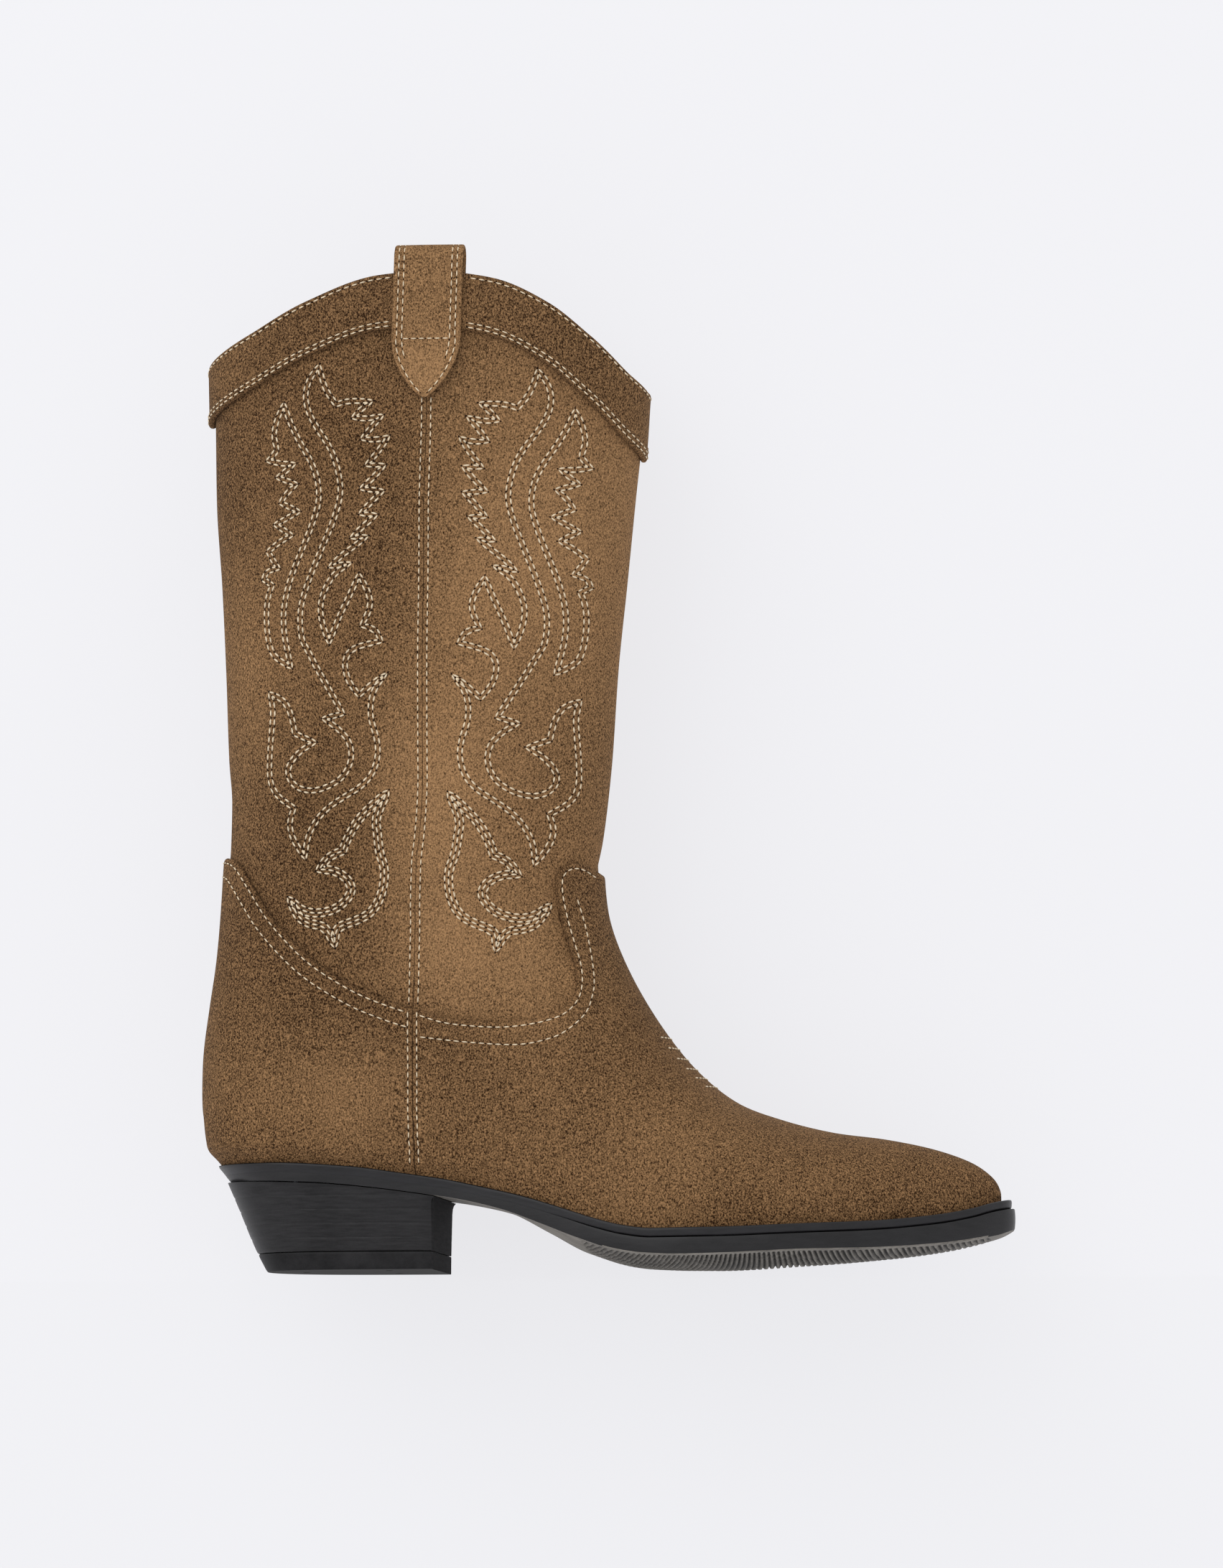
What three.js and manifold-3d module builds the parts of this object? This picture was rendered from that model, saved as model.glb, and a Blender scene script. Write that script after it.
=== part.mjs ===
// Pull-on western boot (right foot): suede upper, pull straps, welt, crowned outsole, stacked heel.
// Millimetres. +X to the toe, +Y to the medial side, +Z up. The origin is the centre of the heel's
// base on the floor.
import * as THREE from 'three';
import Module from 'manifold-3d';
import { ParametricGeometry } from 'three/addons/geometries/ParametricGeometry.js';
import { mergeVertices } from 'three/addons/utils/BufferGeometryUtils.js';

// ---- overall sizes ----
const FOOT = 1;                  // plan scale of the width of the last (1 = ball 89 mm over the sole)
const SHAFT_DEPTH = 1;           // scale of the shaft's width across (1 = 81 mm at the collar)
const COLLAR_PEAK = 347.5;       // collar height at the side seams
const COLLAR_BACK = 318;         // collar height at the back dip
const COLLAR_FRONT = 307.6;      // collar height at the front dip
const BAND = 19.5;               // collar band height
const STRAP_TOP = 356.5;         // height of the pull straps' loops
const STRAP_WIDTH = 24.2;
const STRAP_REACH = 45;          // length of a strap leg below the collar's edge
const HEEL_BASE = 61.4;          // length of the heel's base
const HEEL_BASE_WIDTH = 50;
const LIFT = 6.1;                // top-lift thickness

// ---- materials' thicknesses and clearances ----
const GAP = 0.3;                 // clearance between neighbouring pieces
const LEATHER = 1.4;             // suede panels
const LINING = 0.8;
const TAPE = 0.3;
const BOARD = 2.0;               // insole board
const SOCK = 1.6;                // footbed
const WELT = 3.3;                // welt thickness
const SOLE_GAP = 0.5;            // clearance between welt and outsole
const MARGIN = 4.6;              // lasting margin turned under the board
const NAIL = 2.4;                // heel nail diameter
const SCREW = 4.2;               // heel screw diameter
const NAIL_FIT = 0.3;            // radial clearance round nails and the screw

// offsets from the shaft panels' outer face
const COVER = [0.8, 0.8 + LEATHER];                       // vamp, counter cover, collar band
const PANEL = [-LEATHER, 0];                              // shaft panels, toe puff, stiffener
const TAPED = [-LEATHER - 0.5 - TAPE, -LEATHER - 0.5];    // side seam tapes
const LINED = [TAPED[0] - 0.4 - LINING, TAPED[0] - 0.4];  // linings

// ---- colours ----
const look = (color, roughness, metalness = 0) =>
  new THREE.MeshStandardMaterial({ color, roughness, metalness });
const COLOURS = {
  suede: 0x8f6a45, dark: 0x7b5938, light: 0xa07a54, lining: 0xc9b08c, tape: 0xd8c8a8,
  stiff: 0xb7a88c, board: 0xa98f6a, sock: 0xc2a173, steel: 0x9a9da1, cork: 0xa67c4f,
  welt: 0x1b1b1c, sole: 0x161617, heel: 0x1a1919, lift: 0x121213, brass: 0xb08d4a,
};

// ---- curves ----
// Shape-keeping cubic through (x, y) points, straight beyond its ends.
function curve(points) {
  const n = points.length;
  const slope = [];
  for (let i = 0; i < n - 1; i++) {
    slope.push((points[i + 1][1] - points[i][1]) / (points[i + 1][0] - points[i][0]));
  }
  const tangent = points.map((_, i) => {
    if (i === 0) return slope[0];
    if (i === n - 1) return slope[n - 2];
    return slope[i - 1] * slope[i] <= 0 ? 0 : (2 * slope[i - 1] * slope[i]) / (slope[i - 1] + slope[i]);
  });
  return (x) => {
    if (x <= points[0][0]) return points[0][1] + tangent[0] * (x - points[0][0]);
    if (x >= points[n - 1][0]) return points[n - 1][1] + tangent[n - 1] * (x - points[n - 1][0]);
    let i = 0;
    while (x > points[i + 1][0]) i += 1;
    const h = points[i + 1][0] - points[i][0];
    const t = (x - points[i][0]) / h;
    const a = points[i][1] * (1 + 2 * t) * (1 - t) ** 2 + points[i + 1][1] * t * t * (3 - 2 * t);
    return a + h * t * (1 - t) * (tangent[i] * (1 - t) - tangent[i + 1] * t);
  };
}
const smooth = (t) => { const c = Math.min(Math.max(t, 0), 1); return c * c * (3 - 2 * c); };
const mix = (a, b, t) => a + (b - a) * t;

// Front and back ends of the slices through the foot, from the feather edge up to the ankle.
const FRONT = new THREE.SplineCurve([
  [224.0, 23.0], [223.7, 27.0], [221.2, 31.0], [214.4, 35.6], [202.0, 39.9], [186.0, 43.2], [168.0, 45.6],
  [150.0, 50.1], [133.5, 56.6], [118.5, 68.8], [105.5, 85.4], [94.5, 104.5], [87.6, 123], [85.6, 142],
].map(([x, z]) => new THREE.Vector2(x, z)));
const BACK = new THREE.SplineCurve([
  [-44.0, 37.2], [-46.8, 40.6], [-49.6, 43.6], [-50.3, 46.2], [-50.7, 48.8], [-51.0, 51.5], [-51.3, 54.5],
  [-51.7, 58.5], [-51.8, 66], [-51.3, 78], [-49.2, 94], [-47.2, 108], [-45.8, 123.5], [-44.7, 142],
].map(([x, z]) => new THREE.Vector2(x, z)));
const ANKLE = 13, BAND_ROW = 19, TOP = 20;      // rows of the surface
const ANKLE_Z = 142;

// The shaft's back and front lines, x by height.
const shaftBack = curve([[142, -44.7], [150, -44.2], [165, -43.9], [180, -45.0], [211, -46.2],
  [241, -47.7], [272, -49.8], [300, -50.3], [350, -51.5]]);
const shaftFront = curve([[142, 85.6], [150, 87.3], [165, 89.3], [180, 90.8], [211, 92.9],
  [241, 96.0], [272, 99.1], [290, 101.0], [308, 102.2], [350, 106]]);
const shaftDepth = curve([[60, 32.5], [123, 33.2], [142, 33], [165, 33.6], [200, 35.2],
  [250, 37.6], [300, 39.4], [350, 40.4]]);

// Foot: half-width squared, centre line, feather height, top ridge, by x.
const halfSquared = curve([[-44, 0], [-40, 11.5 ** 2], [-32, 18.5 ** 2], [-20, 23.3 ** 2], [-5, 25.3 ** 2],
  [10, 25.5 ** 2], [30, 25 ** 2], [50, 25.5 ** 2], [75, 29.5 ** 2], [100, 35 ** 2], [125, 38.5 ** 2],
  [145, 37.7 ** 2], [165, 33.2 ** 2], [185, 26 ** 2], [205, 16.3 ** 2], [215, 10.5 ** 2], [221, 5.2 ** 2],
  [224, 0]]);
const centre = curve([[-50, 0], [20, 0], [50, -1.8], [75, -2.8], [100, -2], [125, -0.5], [145, 1],
  [165, 2.5], [185, 4], [205, 5.8], [224, 8], [240, 9]]);
const feather = curve([[-50, 37.1], [-28, 37.3], [2, 35.7], [20, 33.3], [35, 31.1], [47, 28.6], [63, 24.9],
  [76.6, 20.8], [90, 16.5], [100, 14.1], [109, 13.1], [133, 13.4], [160, 14.6], [186, 16], [206, 18.4],
  [218, 21], [224, 23], [232, 25]]);
const ridge = curve([[0, 658], [85.6, 142], [87.6, 123], [94.5, 104.5], [105.5, 85.4], [118.5, 68.8],
  [133.5, 56.6], [150, 50.1], [168, 45.6], [186, 43.2], [202, 39.9], [214.4, 35.6], [221.2, 31], [223.7, 27],
  [224, 23]]);

// Sole: lower edge, crown of the tread below it, and how far welt and outsole stand out, by x.
const soleEdge = curve([[-50, 31.8], [-27, 31], [-8, 30.1], [10.7, 28.3], [29.2, 25.8], [40, 24.1],
  [56, 20.3], [70, 15.2], [83.4, 10], [96.6, 5.8], [106, 4.3], [119, 3.7], [133, 4], [160, 5.4], [186, 6.3],
  [206, 8], [225, 11.5], [232, 14.4]]);
const crown = curve([[30, 0], [56, 0.4], [70, 2.4], [83.4, 4.2], [96.6, 4.2], [106, 3.9], [119, 3.7],
  [133, 4], [160, 3.8], [186, 2.6], [206, 1.8], [225, 0.6], [232, 0]]);
const weltReach = curve([[-50, 4.3], [30, 4.3], [60, 4.4], [100, 5.5], [200, 5.7], [224, 5.8]]);
const soleReach = curve([[-50, 4.0], [30, 4.0], [60, 4.2], [100, 5.8], [200, 6.6], [224, 7.7]]);

// ---- the boot's surface ----
const collarEdge = curve([[0, 0], [20, 0.14], [40, 0.35], [60, 0.68], [80, 0.95], [95, 1]]);
const collarFall = curve([[95, 0], [110, 0.075], [125, 0.27], [140, 0.55], [160, 0.865], [180, 1]]);
function collarHeight(angle) {
  const deg = THREE.MathUtils.radToDeg(angle);
  return deg <= 95 ? mix(COLLAR_BACK, COLLAR_PEAK, collarEdge(deg))
    : mix(COLLAR_PEAK, COLLAR_FRONT, collarFall(deg));
}
function rowHeight(angle, row) {
  const edge = collarHeight(angle);
  if (row >= BAND_ROW) return edge - BAND * (TOP - row);
  const f = (row - ANKLE) / (BAND_ROW - ANKLE);
  const level = mix(ANKLE_Z, COLLAR_BACK - 22, f);
  return level + (edge - BAND - COLLAR_BACK + 22) * smooth(f);
}
const halfPlan = (x) => Math.sqrt(Math.max(halfSquared(x), 0)) * FOOT;

// Point of the shaft panels' outer face. theta runs from the back (0) over the medial side (+) or the
// lateral side (-) to the front (pi); row runs from the feather edge (0) to the collar (TOP).
function skin(theta, row) {
  const angle = Math.abs(theta) > Math.PI ? 2 * Math.PI - Math.abs(theta) : Math.abs(theta);
  const side = Math.abs(Math.sin(theta)) < 1e-9 ? 0 : Math.sign(Math.sin(theta));
  const t = (1 - Math.cos(angle)) / 2;
  let x, z, width;
  if (row <= ANKLE) {
    const f = FRONT.getPoint(row / ANKLE), b = BACK.getPoint(row / ANKLE);
    const f0 = FRONT.getPoint(0), b0 = BACK.getPoint(0);
    x = mix(b.x, f.x, t);
    const x0 = mix(b0.x, f0.x, t);
    z = mix(b.y, f.y, t) + (feather(x0) - mix(b0.y, f0.y, t)) * (1 - row / ANKLE) ** 1.5;
    const rear = Math.min(Math.max((60 - x) / 104, 0), 1);
    const tuck = mix(0.9, 3.4, smooth((110 - x) / 60)) * smooth(row / 2.5);
    const plan = halfPlan(x - (b.x - b0.x) * rear);
    const low = feather(x);
    const s = Math.min(Math.max((z - low) / Math.max(ridge(x) - low, 0.5), 0), 1);
    const foot = (plan + tuck * Math.min(plan / 20, 1)) * Math.sqrt(1 - s ** 2.3);
    width = mix(foot, shaftDepth(z) * SHAFT_DEPTH * Math.sin(angle), smooth((row - 8) / (ANKLE - 8)));
  } else {
    z = rowHeight(angle, row);
    x = mix(shaftBack(z), shaftFront(z), t);
    width = shaftDepth(z) * SHAFT_DEPTH * Math.sin(angle);
  }
  const middle = centre(x) * (1 - smooth((z - 25) / 80));
  return new THREE.Vector3(x, middle + side * width, z);
}

// The same surface moved out by `off` mm.
function shell(theta, row, off) {
  const e = 0.01;
  const du = skin(theta + e, row).sub(skin(theta - e, row));
  const dv = skin(theta, Math.min(row + e, TOP)).sub(skin(theta, Math.max(row - e, 0)));
  const n = dv.cross(du).normalize();
  return skin(theta, row).addScaledVector(n, off);
}

// Feather edge in plan, grown by `out` mm.
function plan(theta, out) {
  const e = 0.02;
  const p = skin(theta, 0);
  const d = skin(theta + e, 0).sub(skin(theta - e, 0));
  const k = out / Math.hypot(d.x, d.y);
  const x = p.x - d.y * k;
  return new THREE.Vector3(x, p.y + d.x * k, feather(x));
}

// ---- solids ----
// A ring of `loop` points at each of n + 1 stations. Open ends close on the line halfway between
// points k and loop - 1 - k; `closed` joins the last station to the first.
function solid(n, loop, point, closed = false) {
  const stacks = closed ? n : n + 2;
  const at = (i, k) => {
    if (closed) return point(i % n, k % loop);
    const s = Math.min(Math.max(i - 1, 0), n);
    if (i - 1 === s) return point(s, k % loop);
    return point(s, k % loop).clone().add(point(s, loop - 1 - (k % loop))).multiplyScalar(0.5);
  };
  const g = new ParametricGeometry((u, v, p) => p.copy(at(Math.round(v * stacks), Math.round(u * loop))),
    loop, stacks);
  return toManifold(g);
}

const wasm = await Module();
wasm.setup();

function toManifold(geometry) {
  geometry.deleteAttribute('normal');
  geometry.deleteAttribute('uv');
  const merged = mergeVertices(geometry, 1e-3);
  const p = merged.attributes.position.array;
  const kept = [];
  for (let i = 0; i < merged.index.count; i += 3) {
    const [a, b, c] = [0, 1, 2].map((j) => merged.index.getX(i + j));
    if (a !== b && b !== c && c !== a) kept.push(a, b, c);
  }
  let sum = 0;
  for (let i = 0; i < kept.length; i += 3) {
    const [a, b, c] = [0, 1, 2].map((j) => new THREE.Vector3().fromArray(p, kept[i + j] * 3));
    sum += a.dot(b.cross(c));
  }
  if (sum < 0) kept.reverse();
  return new wasm.Manifold(new wasm.Mesh({
    numProp: 3, vertProperties: new Float32Array(p), triVerts: new Uint32Array(kept),
  }));
}

const group = new THREE.Group();
function add(name, body, material) {
  const mesh = body.getMesh();
  const g = new THREE.BufferGeometry();
  g.setAttribute('position', new THREE.BufferAttribute(new Float32Array(mesh.vertProperties), 3));
  g.setIndex(new THREE.BufferAttribute(new Uint32Array(mesh.triVerts), 1));
  g.computeVertexNormals();
  const m = new THREE.Mesh(g, material);
  m.name = name;
  group.add(m);
}

const cylinder = (x, y, low, high, radius, sides = 10) => {
  const g = new THREE.CylinderGeometry(radius, radius, high - low, sides);
  g.rotateX(Math.PI / 2);
  g.translate(x, y, (low + high) / 2);
  return toManifold(g);
};

// Side seam: its angle by row, and the columns of the front and back halves of the upper.
const seamAngle = curve([[0, 61.2], [1, 62.2], [2, 63.5], [3, 64.7], [4, 66.4], [5, 69], [6, 72.3], [7, 76],
  [8, 80], [9, 84], [10, 87.5], [11, 91.4], [12, 94.2], [13, 95], [16, 94], [20, 93]]);
const SEAM_GAP = 0.25;
const COLS_FRONT = 11, COLS_BACK = 6;
const rad = THREE.MathUtils.degToRad;
// column i of the front half, lateral seam -> front -> medial seam; from and to trim it
function frontAngle(i, row, from = 0) {
  const seam = seamAngle(row) + SEAM_GAP;
  const a = Math.abs(COLS_FRONT - i) / COLS_FRONT;
  const deg = 180 - (180 - seam) * a * (1 - from);
  return i <= COLS_FRONT ? -rad(deg) : rad(deg);
}
// column i of the back half, lateral seam -> back -> medial seam
function backAngle(i, row) {
  return rad((seamAngle(row) - SEAM_GAP) * (i - COLS_BACK) / COLS_BACK);
}

// A closed sheet over the given rows, with one angle per column and row.
function sheet(columns, rows, angle, [inner, outer]) {
  const loop = rows.length * 2;
  return solid(columns, loop, (i, k) => {
    const row = k < rows.length ? rows[k] : rows[loop - 1 - k];
    const off = k < rows.length ? outer : inner;
    const theta = angle(i, Math.max(row, 0));
    if (row < 0) return turned(theta, -MARGIN, off);
    return row === 0 ? turned(theta, off, off) : shell(theta, row, off);
  });
}
// Point of the lasting margin: `out` mm out from the feather edge, `down` mm under it.
function turned(theta, out, down) {
  const p = plan(theta, out);
  return p.setZ(p.z - down);
}
const range = (from, to, step = 1) => {
  const list = [];
  for (let v = from; v <= to + 1e-9; v += step) list.push(v);
  return list;
};
const front = (rows, offs, from = 0) =>
  sheet(2 * COLS_FRONT, rows, (i, row) => frontAngle(i, row, from), offs);
const back = (rows, offs) => sheet(2 * COLS_BACK, rows, backAngle, offs);

// Everything below a line of (x, z) points, right across the boot.
function below(points) {
  const shape = new THREE.Shape();
  shape.moveTo(points[0][0], -30);
  shape.lineTo(...points[0]);
  shape.splineThru(points.slice(1).map(([x, z]) => new THREE.Vector2(x, z)));
  shape.lineTo(points[points.length - 1][0], -30);
  const g = new THREE.ExtrudeGeometry(shape, { depth: 160, bevelEnabled: false, curveSegments: 2 });
  g.rotateX(Math.PI / 2);
  g.translate(0, 80, 0);
  return toManifold(g);
}

// ---- upper ----
const SHAFT_ROWS = [13, 14.2, 15.4, 16.6, 17.8, 19, 20];
function outerPanels() {
  const vampLine = [[10, 92.5], [23.7, 90.6], [35.5, 87], [46.8, 85.5], [57.7, 85.1], [68.7, 86.5],
    [76.6, 89.2], [80.5, 93.6], [81.5, 98.5], [80.9, 104.7], [78.2, 113.3], [75.8, 121.4], [74, 130.4],
    [74.3, 137.7],    [78.2, 141.1], [82.6, 141.2], [87.3, 138.3], [110, 130], [260, 130]];
  const counterLine = [[-80, 146.5], [-46.5, 145.8], [-42, 144.4], [-38, 141], [-31, 130.7], [-26.5, 124],
    [-20, 116.5], [-11.6, 108.4], [-3.4, 102.6], [6.8, 96.8], [17.2, 92.6], [24, 90.4], [60, 88]];
  const vamp = front([-1, ...range(0, 13)], COVER).intersect(below(vampLine));
  add('vamp', vamp, look(COLOURS.dark, 0.92));
  const counter = back([-1, ...range(0, 13), 14.2], COVER).intersect(below(counterLine));
  add('heel_counter_cover', counter, look(COLOURS.dark, 0.92));
  const rows = [...range(9, 12), ...SHAFT_ROWS];
  add('shaft_front_panel', front(rows, PANEL), look(COLOURS.suede, 0.92));
  add('shaft_back_panel', back(rows, PANEL), look(COLOURS.suede, 0.92));
  add('collar_band_front', front([19, 20], COVER), look(COLOURS.dark, 0.92));
  add('collar_band_back', back([19, 20], COVER), look(COLOURS.dark, 0.92));
}

function linings() {
  const foot = [...range(1, 12), 12.98];
  add('vamp_lining', front(foot, LINED), look(COLOURS.lining, 0.85));
  add('counter_lining', back(foot, LINED), look(COLOURS.lining, 0.85));
  add('shaft_front_lining', front(SHAFT_ROWS, LINED), look(COLOURS.lining, 0.85));
  add('shaft_back_lining', back(SHAFT_ROWS, LINED), look(COLOURS.lining, 0.85));
  add('toe_puff', front(range(1, 6), PANEL, 0.5), look(COLOURS.stiff, 0.8));
  add('heel_stiffener', back([...range(1, 8), 8.96], PANEL), look(COLOURS.stiff, 0.8));
}

function seamTapes() {
  const spread = [-6, -SEAM_GAP, SEAM_GAP, 6];
  for (const [name, side] of [['side_seam_tape_lateral', -1], ['side_seam_tape_medial', 1]]) {
    const angle = (i, row) => side * rad(seamAngle(row) + spread[i]);
    const rows = [9, 10, 11, 12, ...SHAFT_ROWS.slice(0, -1), 19.8];
    add(name, sheet(3, rows, angle, TAPED), look(COLOURS.tape, 0.8));
  }
}

// Pull strap: a leg outside the collar band, a loop over the collar, a leg inside the lining.
function pullStraps() {
  const out = COVER[1] + GAP + 0.1, inside = LINED[0] - GAP - 0.1, thick = LEATHER;
  const middle = (out + inside) / 2, radius = (out - inside) / 2;
  const spring = STRAP_TOP - thick - radius;
  const halfWidth = curve([[0, 0.8], [0.48 * STRAP_REACH, STRAP_WIDTH / 2], [90, STRAP_WIDTH / 2]]);
  const stops = [0, 5, 10, 16, 0.48 * STRAP_REACH, 33, STRAP_REACH];
  const foot = COLLAR_PEAK - STRAP_REACH;
  // stations along the strap: height and side offset of its inner face, outward direction
  const stations = [];
  for (const s of stops) stations.push({ z: foot + s, off: out, n: [1, 0], half: halfWidth(s) });
  for (const deg of [0, 36, 72, 108, 144, 180]) {
    const [c, s] = [Math.cos(rad(deg)), Math.sin(rad(deg))];
    stations.push({ z: spring + radius * s, off: middle + radius * c, n: [c, s], half: STRAP_WIDTH / 2 });
  }
  for (const s of stops.toReversed()) {
    stations.push({ z: foot + s, off: inside, n: [-1, 0], half: halfWidth(s) });
  }
  const across = [-1, -0.33, 0.33, 1];
  for (const [name, side] of [['pull_strap_lateral', -1], ['pull_strap_medial', 1]]) {
    const body = solid(stations.length - 1, 8, (i, k) => {
      const { z, off, n, half } = stations[i];
      const q = k < 4 ? across[k] : across[7 - k];
      const x = mix(29.9, 31.6, (z - foot) / 50) + q * half;
      const b = shaftBack(z), f = shaftFront(z);
      const c = (2 * x - b - f) / (f - b);
      const face = shaftDepth(z) * SHAFT_DEPTH * Math.sqrt(1 - c * c);
      const t = k < 4 ? thick : 0;
      return new THREE.Vector3(x, side * (face + off + n[0] * t), z + n[1] * t);
    });
    add(name, body, look(COLOURS.light, 0.92));
  }
}

// ---- bottom ----
const STATIONS = 2 * (COLS_FRONT + COLS_BACK);
// angles round the feather edge: lateral seam -> front -> medial seam -> back
function ringAngle(i) {
  if (i <= 2 * COLS_FRONT) return frontAngle(i, 0);
  return rad(seamAngle(0) * (1 - (i - 2 * COLS_FRONT) / COLS_BACK));
}

function welt() {
  const body = solid(STATIONS, 6, (i, k) => {
    const theta = ringAngle(i);
    const x = skin(theta, 0).x;
    const wall = mix(COVER[1] + 0.9, COVER[1] + 1.6, smooth((110 - x) / 60));
    const out = weltReach(x), inside = -MARGIN - 0.4, low = COVER[1] + 0.4;
    const profile = [[wall, 0], [out, 0], [out - 0.2, WELT], [inside, WELT], [inside, low], [low, low]];
    return turned(theta, ...profile[k]);
  }, true);
  add('welt', body, look(COLOURS.welt, 0.55));
}

// Slab between mirrored pairs of the ring: half-angles from the back (0) to the toe (pi).
const PAIRS = range(COLS_FRONT, 2 * COLS_FRONT + COLS_BACK).reverse().map((i) => Math.abs(ringAngle(i)));
function slab(pairs, reach, height, mids) {
  const loop = mids.length + 4;
  return solid(pairs.length - 1, loop, (i, k) => {
    const theta = pairs[i];
    const x = skin(theta, 0).x;
    const sides = [-1, 1].map((s) => plan(s * theta, reach(x)));
    const q = k < 2 ? -1 : k >= loop - 2 ? 1 : mids[k - 2];
    const p = sides[0].clone().lerp(sides[1], (q + 1) / 2);
    const [top, edge, dip] = height(p.x);
    const belly = dip * Math.min(sides[0].distanceTo(sides[1]) / 8, 1);
    return p.setZ(k === 0 || k === loop - 1 ? top : edge - belly * (1 - q * q));
  });
}

const NAILS = [[-19, -11], [-19, 11], [9, -14], [9, 14]];
const LIFT_NAILS = [[-17, 0], [14, -12], [14, 12]];
// holes cut for the heel's nails and screw
function nailHoles(body, extra = 0) {
  let cut = body;
  for (const [x, y] of NAILS) cut = cut.subtract(cylinder(x, y, 12, 60, NAIL / 2 + NAIL_FIT + extra));
  return cut.subtract(cylinder(-3, 0, 10, 60, SCREW / 2 + NAIL_FIT + extra));
}

function bottom() {
  const sole = slab(PAIRS, soleReach, (x) => [feather(x) - WELT - SOLE_GAP, soleEdge(x), crown(x)],
    [-0.66, -0.3, 0.3, 0.66]);
  add('outsole', nailHoles(sole), look(COLOURS.sole, 0.6));
  const board = slab(PAIRS, () => -0.6, (x) => [feather(x) + 0.1 + BOARD, feather(x) + 0.1, 0], []);
  const rivets = [-21, 72];
  let insole = nailHoles(board);
  for (const x of rivets) insole = insole.subtract(cylinder(x, centre(x), 0, 60, 1.5 + NAIL_FIT));
  add('insole_board', insole, look(COLOURS.board, 0.9));
  const sock = 0.1 + BOARD + GAP;
  add('footbed', slab(PAIRS, () => -3.8, (x) => [feather(x) + sock + SOCK, feather(x) + sock, 0], []),
    look(COLOURS.sock, 0.75));
  const filler = slab(PAIRS.filter((a) => a > 1.62), () => -MARGIN - 0.9,
    (x) => [feather(x) - 0.2, feather(x) - WELT + 0.1, 0], []);
  add('bottom_filler', filler, look(COLOURS.cork, 0.95));
  shank(rivets);
}

// Spring-steel shank under the board, following the waist, riveted at both ends.
function shank(rivets) {
  const stops = [-27, -15, 0, 15, 28, 40, 52, 64, 72, 80];
  let bar = solid(stops.length - 1, 4, (i, k) => {
    const x = stops[i], y = (k === 0 || k === 3 ? -6.5 : 6.5) + centre(x);
    return new THREE.Vector3(x, y, feather(x) - (k < 2 ? 0.4 : 1.9));
  });
  bar = bar.subtract(cylinder(-3, 0, 0, 60, SCREW / 2 + NAIL_FIT));
  for (const x of rivets) bar = bar.subtract(cylinder(x, centre(x), 0, 60, 1.5 + NAIL_FIT));
  add('steel_shank', bar, look(COLOURS.steel, 0.35, 1));
  rivets.forEach((x, i) => {
    const z = feather(x);
    const pin = cylinder(x, centre(x), z - 2.6, z + 1.6, 1.5);
    add(`shank_rivet_${i + 1}`, pin, look(COLOURS.steel, 0.35, 1));
  });
}

// Heel: D-shaped layers from the floor up to the sole, the back line raked in towards the floor.
const heelBackLine = curve([[0, 0], [LIFT, 3.2], [12, 5.9], [21.2, 9.7], [32, 14.4]]);
const BREAST = HEEL_BASE / 2;
function heelLayer(top, low, rows) {
  const stops = [0, 0.015, 0.06, 0.13, 0.22, 0.33, 0.47, 0.64, 0.82, 1];
  const loop = 2 * rows;
  return solid(stops.length - 1, loop, (i, k) => {
    const r = (k < rows ? k : loop - 1 - k) / (rows - 1);
    const at = (z) => mix(-BREAST - heelBackLine(z), BREAST, stops[i]);
    const high = top(at(26));
    const z = mix(low, high, r);
    const half = mix(HEEL_BASE_WIDTH / 2, 29, smooth(z / 34)) * Math.sqrt(1 - (1 - stops[i]) ** 4);
    return new THREE.Vector3(at(z), (k < rows ? -1 : 1) * half, z);
  });
}

function heel() {
  let block = heelLayer((x) => soleEdge(x) - GAP, LIFT + GAP, 5);
  block = nailHoles(block);
  let lift = heelLayer(() => LIFT, 0, 2);
  for (const [x, y] of LIFT_NAILS) {
    block = block.subtract(cylinder(x, y, 0, 15, 1 + NAIL_FIT));
    lift = lift.subtract(cylinder(x, y, -5, 15, 1 + NAIL_FIT));
  }
  add('heel_block', block, look(COLOURS.heel, 0.55));
  add('heel_top_lift', lift, look(COLOURS.lift, 0.6));
  NAILS.forEach(([x, y], i) => {
    const nail = cylinder(x, y, 12.5, feather(x) + BOARD - 0.2, NAIL / 2);
    add(`heel_nail_${i + 1}`, nail, look(COLOURS.steel, 0.4, 1));
  });
  add('heel_screw', cylinder(-3, 0, 10.5, feather(-3) + BOARD - 0.2, SCREW / 2), look(COLOURS.steel, 0.4, 1));
  LIFT_NAILS.forEach(([x, y], i) => {
    add(`top_lift_nail_${i + 1}`, cylinder(x, y, 1.2, 14.6, 1), look(COLOURS.brass, 0.4, 1));
  });
}

outerPanels();
linings();
seamTapes();
pullStraps();
welt();
bottom();
heel();
export default group;
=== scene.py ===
"""Pull-on western boot: suede upper with embroidered shaft, pull straps, welt, ribbed sole, stacked heel."""

import math

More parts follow.
